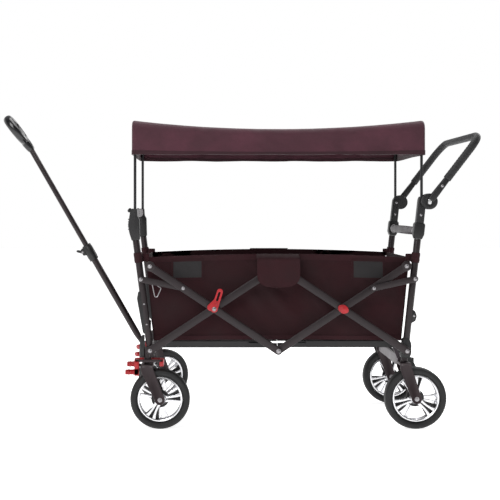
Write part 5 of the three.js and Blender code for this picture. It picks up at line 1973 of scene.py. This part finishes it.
# ------------------------------------------------------------------------------ canopy
@dataclass(frozen=True)
class Canopy:
    """The two hoops and the one sheet of cloth that hangs over them."""

    top: float = 0.991
    skirt: float = 0.113
    sag: float = 0.027
    half_width: float = 0.2345
    corner: float = 0.030
    wall: float = 0.0098
    rod_radius: float = 0.0045
    hoop_half: float = 0.218
    hoop_bend: float = 0.032
    cloth: float = 0.0016
    cell: float = 0.0085

    @property
    def hoop_top(self) -> float:
        """The height of the hoops' axis."""
        return self.top - 0.003 - self.rod_radius - 0.004

    def hoop(self, end: End) -> None:
        """Builds one hoop."""
        x = FRONT_ROD_X if end is End.FRONT else REAR_ROD_X
        foot = FRONT_POST_END + 10 * MM if end is End.FRONT else MAST_TOP - 84 * MM
        w = self.hoop_half
        corners = [
            RIG.at(x, -w, foot), RIG.at(x, -w, self.hoop_top), RIG.at(x, w, self.hoop_top),
            RIG.at(x, w, foot),
        ]
        stations = path_stations(
            bent_path(corners, self.hoop_bend, 10), X_AXIS,
            even(self.rod_radius),
        )
        Shape().tube(stations, 16).finish(
            f"{end.label}_hoop_rod", Finish.ROD, f"{end.label}_hoop", [f"{end.label}_hoop"]
        )

    def drape(self, point: Vector) -> Vector:
        """Where a point of the taut box goes when the cloth hangs: sag, creases and hem."""
        front, back = FRONT_ROD_X - self.wall, REAR_ROD_X + self.wall
        x, y, z = point.x - RIG.centre_x, point.y - RIG.mid_y, point.z
        share = min(1.0, max(0.0, (x - front) / (back - front)))
        dip = self.sag * (1 - (2 * share - 1) ** 2)
        height = (z - (self.top - self.skirt)) / self.skirt
        lowered = dip * max(0.0, height) ** 0.8
        slack = 0.35 * dip * (1 - abs(y) / self.half_width) * max(0.0, height)
        crease = noise.noise(Vector((x * 9.0, y * 9.0, z * 14.0))) * 4.5 * MM
        tension = noise.noise(Vector((x * 26.0 + z * 30.0, y * 6.0, 3.7))) * 3.0 * MM
        ends = 1 - abs(2 * share - 1) ** 6
        inward = 3.2 * MM * ends * math.sin(math.pi * min(1.0, max(0.0, height)))
        side = math.copysign(1.0, y) if abs(y) > self.half_width - self.corner else 0.0
        moved = Vector((x, y - side * inward, z - lowered - slack))
        if abs(y) > self.half_width - self.corner:
            moved.y -= side * max(0.0, (crease + tension) * ends + 0.8 * MM)
        else:
            moved.z += min(0.0, (crease + tension) * ends)
        if height < 0.02:
            moved.z += 1.6 * MM * (0.5 + 0.5 * math.sin(x * 31 + y * 17))
        return RIG.at(moved.x, moved.y, moved.z)

    def shell(self, inset: float, low: float, high: Optional[float] = None) -> bmesh.types.BMesh:
        """The taut cloth box, open below, cut into small cells.

        Args:
            inset: how far inside the outer surface the shell lies; below 0 outside it.
            low: the height of its lower edge.
            high: where to cut it off above, or None for the whole top.

        Returns:
            A bmesh with one layer of faces.
        """
        front, back = FRONT_ROD_X - self.wall + inset, REAR_ROD_X + self.wall - inset
        half, top = self.half_width - inset, self.top - 0.4 * MM - inset
        part = bmesh.new()
        middle = RIG.at((front + back) / 2, 0, (top + low) / 2)
        add_box(part, middle, Vector((back - front, 2 * half, top - low)))
        floor = [f for f in part.faces if f.normal.z < -FLAT]
        bmesh.ops.delete(part, geom=floor, context="FACES_ONLY")
        round_edges = [e for e in part.edges if len(e.link_faces) == 2]
        along_x = [e for e in round_edges if abs((e.verts[0].co - e.verts[1].co).x) > 0.1]
        soften(part, along_x, self.corner, 8, clamp=False)
        others = [
            e for e in part.edges
            if len(e.link_faces) == 2 and e.link_faces[0].normal.angle(e.link_faces[1].normal) > 1.2
        ]
        soften(part, others, 9 * MM, 4, clamp=False)
        lows = (front, -half, low)
        highs = (back, half, top)
        origin = RIG.at(0, 0, 0)
        for axis in range(3):
            count = max(1, round((highs[axis] - lows[axis]) / self.cell))
            normal = [0.0, 0.0, 0.0]
            normal[axis] = 1.0
            for index in range(1, count):
                point = [0.0, 0.0, 0.0]
                point[axis] = origin[axis] + lows[axis] + (highs[axis] - lows[axis]) * index / count
                bmesh.ops.bisect_plane(
                    part, geom=part.verts[:] + part.edges[:] + part.faces[:], dist=1e-5,
                    plane_co=point, plane_no=normal,
                )
        if high is not None:
            bmesh.ops.bisect_plane(
                part, geom=part.verts[:] + part.edges[:] + part.faces[:], dist=1e-5,
                plane_co=(0, 0, high), plane_no=(0, 0, 1), clear_outer=True,
            )
        return part

    def cover(self) -> None:
        hem = self.top - self.skirt
        anchor = RIG.at(FRONT_ROD_X - self.wall, 0, hem)

        def dress(part: bmesh.types.BMesh, thickness: float) -> Shape:
            """Drapes a layer, gives it metric UVs and then its thickness."""
            bmesh.ops.remove_doubles(part, verts=part.verts[:], dist=1e-5)
            lay_flat(part)
            for vert in part.verts:
                vert.co = self.drape(vert.co)
            bmesh.ops.recalc_face_normals(part, faces=part.faces[:])
            top_face = max(part.faces, key=lambda f: f.calc_center_median().z)
            if top_face.normal.z < 0:
                bmesh.ops.reverse_faces(part, faces=part.faces[:])
            bmesh.ops.solidify(part, geom=part.faces[:], thickness=thickness)
            return Shape().absorb(part)

        sheet = dress(self.shell(0.0, hem + 1.5 * MM), self.cloth).finish(
            "canopy_cloth", Finish.CANOPY, "front_hoop", ["canopy_cover"], CLOTH_SMOOTH
        )
        binding = dress(
            self.shell(-0.9 * MM, hem, hem + 15 * MM), 3.4 * MM
        ).finish("canopy_hem", Finish.CANOPY_TRIM, "front_hoop", (), CLOTH_SMOOTH)
        for piece in (sheet, binding):
            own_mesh(piece)

    def build(self) -> None:
        """Builds the hoops and the cover."""
        for end in End:
            self.hoop(end)
        self.cover()


# ------------------------------------------------------------------------------ tub
@dataclass(frozen=True)
class Tub:
    """The cloth tub: sides on the front frame, ends on the frames, mats and trims."""

    half_width: float = 0.2006
    cloth: float = 0.0022
    end_inset: float = 0.013
    end_slope: float = 0.096
    flap_half: float = 0.068
    rim_rise: float = 0.011

    @property
    def bottom_x(self) -> float:
        """Half the tub's length at its floor."""
        return RIG.half_span - self.end_inset

    @property
    def top_x(self) -> float:
        """Half the tub's length at its rim."""
        return self.bottom_x + (TUB_RIM - TUB_FLOOR) * self.end_slope

    def surface(self, side: Side, x: float, z: float) -> Vector:
        """The side cloth's outer surface: slack between its fixings, with long folds."""
        share = (z - TUB_FLOOR) / (TUB_RIM - TUB_FLOOR)
        along = x / self.top_x
        belly = math.sin(math.pi * min(1.0, max(0.0, share)))
        ends = 1 - abs(along) ** 6
        fold = noise.noise(Vector((x * 6.0, z * 7.0, side.value * 5.0))) * 15 * MM
        pull = noise.noise(Vector((x * 17.0 + z * 13.0, z * 5.0, side.value * 9.0))) * 8.0 * MM
        rim_rise = self.rim_rise * (1 - along**2) * max(0.0, share) ** 3
        out = (fold + pull) * belly * ends + 2.5 * MM * belly * ends
        arch = 4 * MM * (1 - abs(along) ** 2) * max(0.0, 1 - share * 6)
        stand_off = min(14 * MM, max(0.2 * MM, out))
        return RIG.at(x, side.value * (self.half_width + stand_off), z + rim_rise + arch)

    def patch(
        self, side: Side, corners: tuple[float, float, float, float], off: float, thickness: float,
        cells: tuple[int, int] = (24, 12),
    ) -> Shape:
        """A piece of cloth that follows the side.

        Args:
            side: which side it is on.
            corners: its lowest X, highest X, lowest Z and highest Z.
            off: how far its outer surface stands off the side.
            thickness: its thickness.
            cells: the number of cells along and up.

        Returns:
            The shape.
        """
        x0, x1, z0, z1 = corners
        middle = (x0 + x1) / 2

        def place(u: float, v: float) -> Vector:
            """The patch's point for two shares."""
            x = middle + (x0 + (x1 - x0) * u - middle)
            point = self.surface(side, x, z0 + (z1 - z0) * v)
            point.y += side.value * off
            return point

        return Shape().grid(*cells, place, thickness, (x1 - x0, z1 - z0))

    @property
    def keep(self) -> float:
        """How much of its length the tub keeps when the cart is folded."""
        return 1 - FOLD_TRAVEL / (2 * self.bottom_x)

    def fold_with_bars(self, obj: bpy.types.Object) -> None:
        """Gives a side piece a mesh of its own."""
        anchor = RIG.at(-self.bottom_x, 0, TUB_FLOOR)
        self.keep
        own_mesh(obj)

    def side_panel(self, side: Side) -> None:
        """Builds one side with its bindings, net pockets and their tapes."""
        label = side.label

        def place(u: float, v: float) -> Vector:
            """The side's point for two shares; its ends slope with the frames."""
            reach = self.bottom_x + (self.top_x - self.bottom_x) * v
            return self.surface(side, -reach + 2 * reach * u, TUB_FLOOR + (TUB_RIM - TUB_FLOOR) * v)

        size = (2 * self.top_x, TUB_RIM - TUB_FLOOR)
        cloth = Shape().grid(150, 48, place, self.cloth, size).finish(
            f"tub_cloth_{label}", Finish.TUB, "front_frame", [f"tub_side_{label}"], CLOTH_SMOOTH
        )
        trims = []

        def trim(shape: Shape, name: str, finish: Finish) -> None:
            """Finishes a trim that rides with the side on the front frame."""
            trims.append(
                shape.finish(f"{name}_{label}", finish, "front_frame", (), CLOTH_SMOOTH)
            )

        foot_x = self.bottom_x + 1 * MM
        for name, corners, off, thickness in (
            ("tub_rim_binding", (-self.top_x, self.top_x, TUB_RIM - 17 * MM, TUB_RIM + 0.6 * MM),
             2.2 * MM, 4.4 * MM),
            ("tub_foot_binding", (-foot_x, foot_x, TUB_FLOOR, TUB_FLOOR + 15 * MM),
             2.0 * MM, 4.2 * MM),
        ):
            binding = self.patch(side, corners, off, thickness, cells=(150, 5))
            trim(binding, name, Finish.TUB_TRIM)
        for end, (x0, x1) in zip(End, ((-0.338, -0.243), (0.243, 0.341))):
            pocket = self.patch(side, (x0, x1, 0.478, 0.536), 1.6 * MM, 1.4 * MM)
            trim(pocket, f"net_pocket_{end.label}", Finish.NET)
            tape = Shape()
            for low, high, left, right in (
                (0.532, 0.540, x0 - 4 * MM, x1 + 4 * MM), (0.474, 0.481, x0 - 4 * MM, x1 + 4 * MM),
                (0.474, 0.540, x0 - 5 * MM, x0 + 2 * MM), (0.474, 0.540, x1 - 2 * MM, x1 + 5 * MM),
            ):
                tape.merge(self.patch(side, (left, right, low, high), 2.6 * MM, 1.6 * MM).bm)
            trim(tape, f"pocket_tape_{end.label}", Finish.TUB)
        for obj in (cloth, *trims):
            self.fold_with_bars(obj)

    def flap(self, side: Side) -> None:
        """Builds the rounded flap that hangs over the bars' top middle joint."""
        top, low = TUB_RIM + self.rim_rise + 1.5 * MM, 0.455
        out = OUTER_LAYER + BAR_THICKNESS + 5.2 * MM

        def place(u: float, v: float) -> Vector:
            """The flap's point: over the rim at its top, then down outside the bars."""
            drop = 1 - v
            reach = min(1.0, drop / 0.16)
            y = self.half_width + 2 * MM + (out - self.half_width - 2 * MM) * math.sin(
                reach * math.pi / 2
            )
            width = math.sqrt(max(0.0, 1 - max(0.0, (drop - 0.62) / 0.38) ** 2.6))
            x = (2 * u - 1) * self.flap_half * (0.2 + 0.8 * width)
            ripple = 0.8 * MM * math.sin(9 * u + 3 * v)
            return RIG.at(x, side.value * (y + ripple), top - (top - low) * drop)

        size = (2 * self.flap_half, (top - low) * 1.35)
        obj = Shape().grid(32, 36, place, 2.2 * MM, size).finish(
            f"joint_flap_{side.label}", Finish.TUB_TRIM, "front_frame", (), CLOTH_SMOOTH
        )
        f"tub_rim_binding_{side.label}"
        self.fold_with_bars(obj)

    def end_panel(self, end: End) -> None:
        """Builds one end, bound along its top, that stays on its frame."""
        half = self.half_width - 7.6 * MM
        body = f"{end.label}_frame"

        def place(u: float, v: float) -> Vector:
            """The end's point for two shares, slack between the posts."""
            reach = self.bottom_x + 2.2 * MM + (self.top_x - self.bottom_x) * v
            y = (2 * u - 1) * half
            belly = math.sin(math.pi * u) * math.sin(math.pi * v)
            fold = noise.noise(Vector((y * 9, v * 2.2, end.value * 3.0))) * 4 * MM
            return RIG.at(
                end.value * (reach + (fold + 3 * MM) * belly), y,
                TUB_FLOOR + (TUB_RIM - TUB_FLOOR) * v,
            )

        size = (2 * half, TUB_RIM - TUB_FLOOR)
        cloth = Shape().grid(70, 44, place, self.cloth, size).finish(
            f"tub_end_cloth_{end.label}", Finish.TUB, body, [f"tub_end_{end.label}"], CLOTH_SMOOTH
        )

        def bound(u: float, v: float) -> Vector:
            """The binding's point, just outside the end's top edge."""
            point = place(u, 0.94 + 0.062 * v)
            point.x += end.value * 1.2 * MM
            return point

        binding = Shape().grid(70, 4, bound, 4.4 * MM, (size[0], 17 * MM)).finish(
            f"tub_end_binding_{end.label}", Finish.TUB_TRIM, body, (), CLOTH_SMOOTH
        )

    def corners(self, side: Side, end: End) -> None:
        """Builds the strap that holds the tub's corner to its post."""
        post_x = RIG.front_post_x if end is End.FRONT else RIG.rear_post_x
        y = side.value * RIG.track
        lean = -math.atan(RIG.front_slope) if end is End.FRONT else math.atan(RIG.rear_slope)
        middle = TUB_RIM + 1 * MM
        turned = Matrix.Rotation(lean, 4, "Y")
        place = Matrix.Translation(RIG.at(post_x(middle), y, middle)) @ turned
        r = POST_RADIUS
        loop = [
            (r + 0.4 * MM, -15 * MM), (r + 2.2 * MM, -16 * MM), (r + 3.0 * MM, -8 * MM),
            (r + 2.5 * MM, 0), (r + 3.1 * MM, 9 * MM), (r + 2.2 * MM, 16 * MM),
            (r + 0.4 * MM, 15 * MM),
        ]
        shape = Shape().lathe(loop, place, 32, ring=True)
        tie_x = end.value * (self.top_x - 10 * MM)
        low = RIG.at(min(tie_x, tie_x + end.value * 26 * MM), 0, middle - 13 * MM)
        high = RIG.at(max(tie_x, tie_x + end.value * 26 * MM), 0, middle + 12 * MM)
        y0, y1 = sorted(
            side.value * aside for aside in (self.half_width - 1 * MM, RIG.track - 8 * MM)
        )
        low.y, high.y = RIG.mid_y + y0, RIG.mid_y + y1
        shape.block(low, high, 2.4 * MM)
        obj = shape.finish(
            f"corner_strap_{end.label}_{side.label}", Finish.TUB_TRIM, f"{end.label}_frame"
        )

    def mats(self) -> None:
        """Builds the padded floor mats on the two folding boards."""
        for end in End:
            low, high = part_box(f"floor_board_{end.label}")
            top = high.z + 0.3 * MM
            inner = RIG.centre_x + end.value * 0.6 * MM
            outer = RIG.centre_x + end.value * (self.bottom_x - 26 * MM)
            x0, x1 = sorted((inner, outer))
            y_half = 0.1955 if end is End.FRONT else 0.1890

            def place(u: float, v: float, x0: float = x0, x1: float = x1) -> Vector:
                """The mat's top surface, quilted in squares."""
                x = x0 + (x1 - x0) * u
                y = RIG.mid_y + (2 * v - 1) * y_half
                quilt = abs(math.sin(u * math.pi * 3)) * abs(math.sin(v * math.pi * 3))
                edge = min(1.0, 12 * min(u, 1 - u, v, 1 - v))
                return Vector((x, y, top + 0.8 * MM + 4.2 * MM * quilt**0.5 * edge))

            part = bmesh.new()
            bmesh.ops.create_grid(part, x_segments=48, y_segments=40, size=0.5)
            for vert in part.verts:
                vert.co = place(vert.co.x + 0.5, vert.co.y + 0.5)
            made = bmesh.ops.extrude_face_region(part, geom=part.faces[:])
            for vert in new_verts(made):
                vert.co.z = top
            mat = Shape().absorb(part).finish(
                f"floor_mat_{end.label}", Finish.TUB_INSIDE, f"{end.label}_board", (), 50.0
            )

    def build(self) -> None:
        """Builds the whole tub."""
        for side in Side:
            self.side_panel(side)
            self.flap(side)
            for end in End:
                self.corners(side, end)
        for end in End:
            self.end_panel(end)
        self.mats()


# ------------------------------------------------------------------------------ studio
@dataclass(frozen=True)
class Studio:
    """White floor, soft lights and the camera."""

    camera_at: tuple[float, float, float] = (-0.25, -3.465, 0.708)
    lens: float = 72.8
    shift: tuple[float, float] = (0.1, -0.084)
    floor_half: float = 14.0
    floor_glow: float = 0.80
    sky_low: tuple[float, Colour] = (0.26, (1.0, 1.0, 1.0))
    sky_high: tuple[float, Colour] = (0.50, (0.34, 0.34, 0.35))
    sky_depth: tuple[float, float, float, float] = (-0.30, 0.25, 0.30, 1.0)

    def floor(self) -> None:
        """Builds the pale floor."""
        graph = Graph("studio_floor")
        at = graph.place()
        graph.put(
            "Base Color",
            graph.mix(
                graph.span(graph.noise(at, 3.0), 0.3, 0.7, 0.0, 1.0),
                (0.90, 0.90, 0.90, 1.0), (0.93, 0.93, 0.93, 1.0),
            ),
        )
        graph.put("Roughness", 0.85)
        graph.put("Emission Color", (1.0, 1.0, 1.0, 1.0))
        graph.put("Emission Strength", self.floor_glow)
        mesh = bpy.data.meshes.new("studio_floor")
        part = bmesh.new()
        bmesh.ops.create_grid(part, x_segments=2, y_segments=2, size=self.floor_half)
        part.to_mesh(mesh)
        part.free()
        mesh.materials.append(graph.material)
        obj = bpy.data.objects.new("studio_floor", mesh)
        bpy.context.scene.collection.objects.link(obj)

    def area(self, name: str, at: Vector, target: Vector, size: float, power: float) -> None:
        """Adds one square soft light.

        Args:
            name: the light's name.
            at: where it is.
            target: the point that it faces.
            size: the length of its side.
            power: its power in watts.
        """
        data = bpy.data.lights.new(name, "AREA")
        data.energy, data.size = power, size
        light = bpy.data.objects.new(name, data)
        light.location = at
        light.rotation_euler = (target - at).to_track_quat("-Z", "Y").to_euler()
        bpy.context.scene.collection.objects.link(light)

    def sky(self) -> bpy.types.World:
        """The soft light around the cart: brightest low down and ahead of the camera."""
        world = bpy.data.worlds.new("studio_world")
        world.use_nodes = True
        tree = world.node_tree
        place = tree.nodes.new("ShaderNodeTexCoord")
        split = tree.nodes.new("ShaderNodeSeparateXYZ")
        tree.links.new(place.outputs["Generated"], split.inputs[0])
        height = tree.nodes.new("ShaderNodeValToRGB")
        for stop, (position, colour) in zip(
            height.color_ramp.elements, (self.sky_low, self.sky_high)
        ):
            stop.position, stop.color = position, (*colour, 1.0)
        tree.links.new(split.outputs["Z"], height.inputs[0])
        ahead = tree.nodes.new("ShaderNodeMapRange")
        for socket, value in zip(ahead.inputs[1:5], self.sky_depth):
            socket.default_value = value
        tree.links.new(split.outputs["Y"], ahead.inputs[0])
        background = tree.nodes["Background"]
        tree.links.new(height.outputs[0], background.inputs[0])
        tree.links.new(ahead.outputs[0], background.inputs[1])
        return world

    def build(self) -> None:
        """Builds the studio."""
        scene = bpy.context.scene
        self.floor()
        scene.world = self.sky()
        middle = RIG.at(0, 0, 0.5)
        self.area("key_light", RIG.at(-1.6, -2.6, 2.6), middle, 1.8, 60.0)
        self.area("top_light", RIG.at(0.2, 0.4, 3.2), middle, 2.4, 60.0)
        self.area("rear_light", RIG.at(2.2, 2.2, 2.2), middle, 1.6, 40.0)
        scene.view_settings.view_transform = "Standard"
        data = bpy.data.cameras.new("studio_camera")
        data.lens, data.sensor_width = self.lens, 36.0
        data.shift_x, data.shift_y = self.shift
        camera = bpy.data.objects.new("studio_camera", data)
        camera.location = RIG.at(*self.camera_at)
        camera.rotation_euler = (math.pi / 2, 0, 0)
        scene.collection.objects.link(camera)
        scene.camera = camera


class CarriedNodes:
    """CAD nodes whose shape is kept, dressed with the cart's finishes."""

    finishes: dict[str, Finish] = {
        "front_bottom_bar": Finish.FRAME,
        "rear_bottom_bar": Finish.GREY_METAL,
        "rear_brake": Finish.BLACK,
        "pull_yoke": Finish.BLACK,
        "floor_board_front": Finish.BLACK,
        "floor_board_rear": Finish.BLACK,
    }

    def build(self) -> None:
        """Gives every kept node its finish."""
        for name, finish in self.finishes.items():
            obj = frame["nodes"][name]
            for index in range(max(1, len(obj.data.materials))):
                if len(obj.data.materials) <= index:
                    obj.data.materials.append(material_of(finish))
                else:
                    obj.data.materials[index] = material_of(finish)
            log.info("%s: kept from the CAD model", name)


def main() -> None:
    """Builds the cart's visible surfaces and the studio."""
    logging.basicConfig(level=logging.INFO, format="%(name)s: %(message)s")
    Studio().build()
    for side in Side:
        Caster(side).build()
        ScissorSide(side).build()
    FrontFrame().build()
    RearFrame().build()
    PUSH.build()
    PullHandle().build()
    Canopy().build()
    Tub().build()
    CarriedNodes().build()


if __name__ == "__main__":
    main()
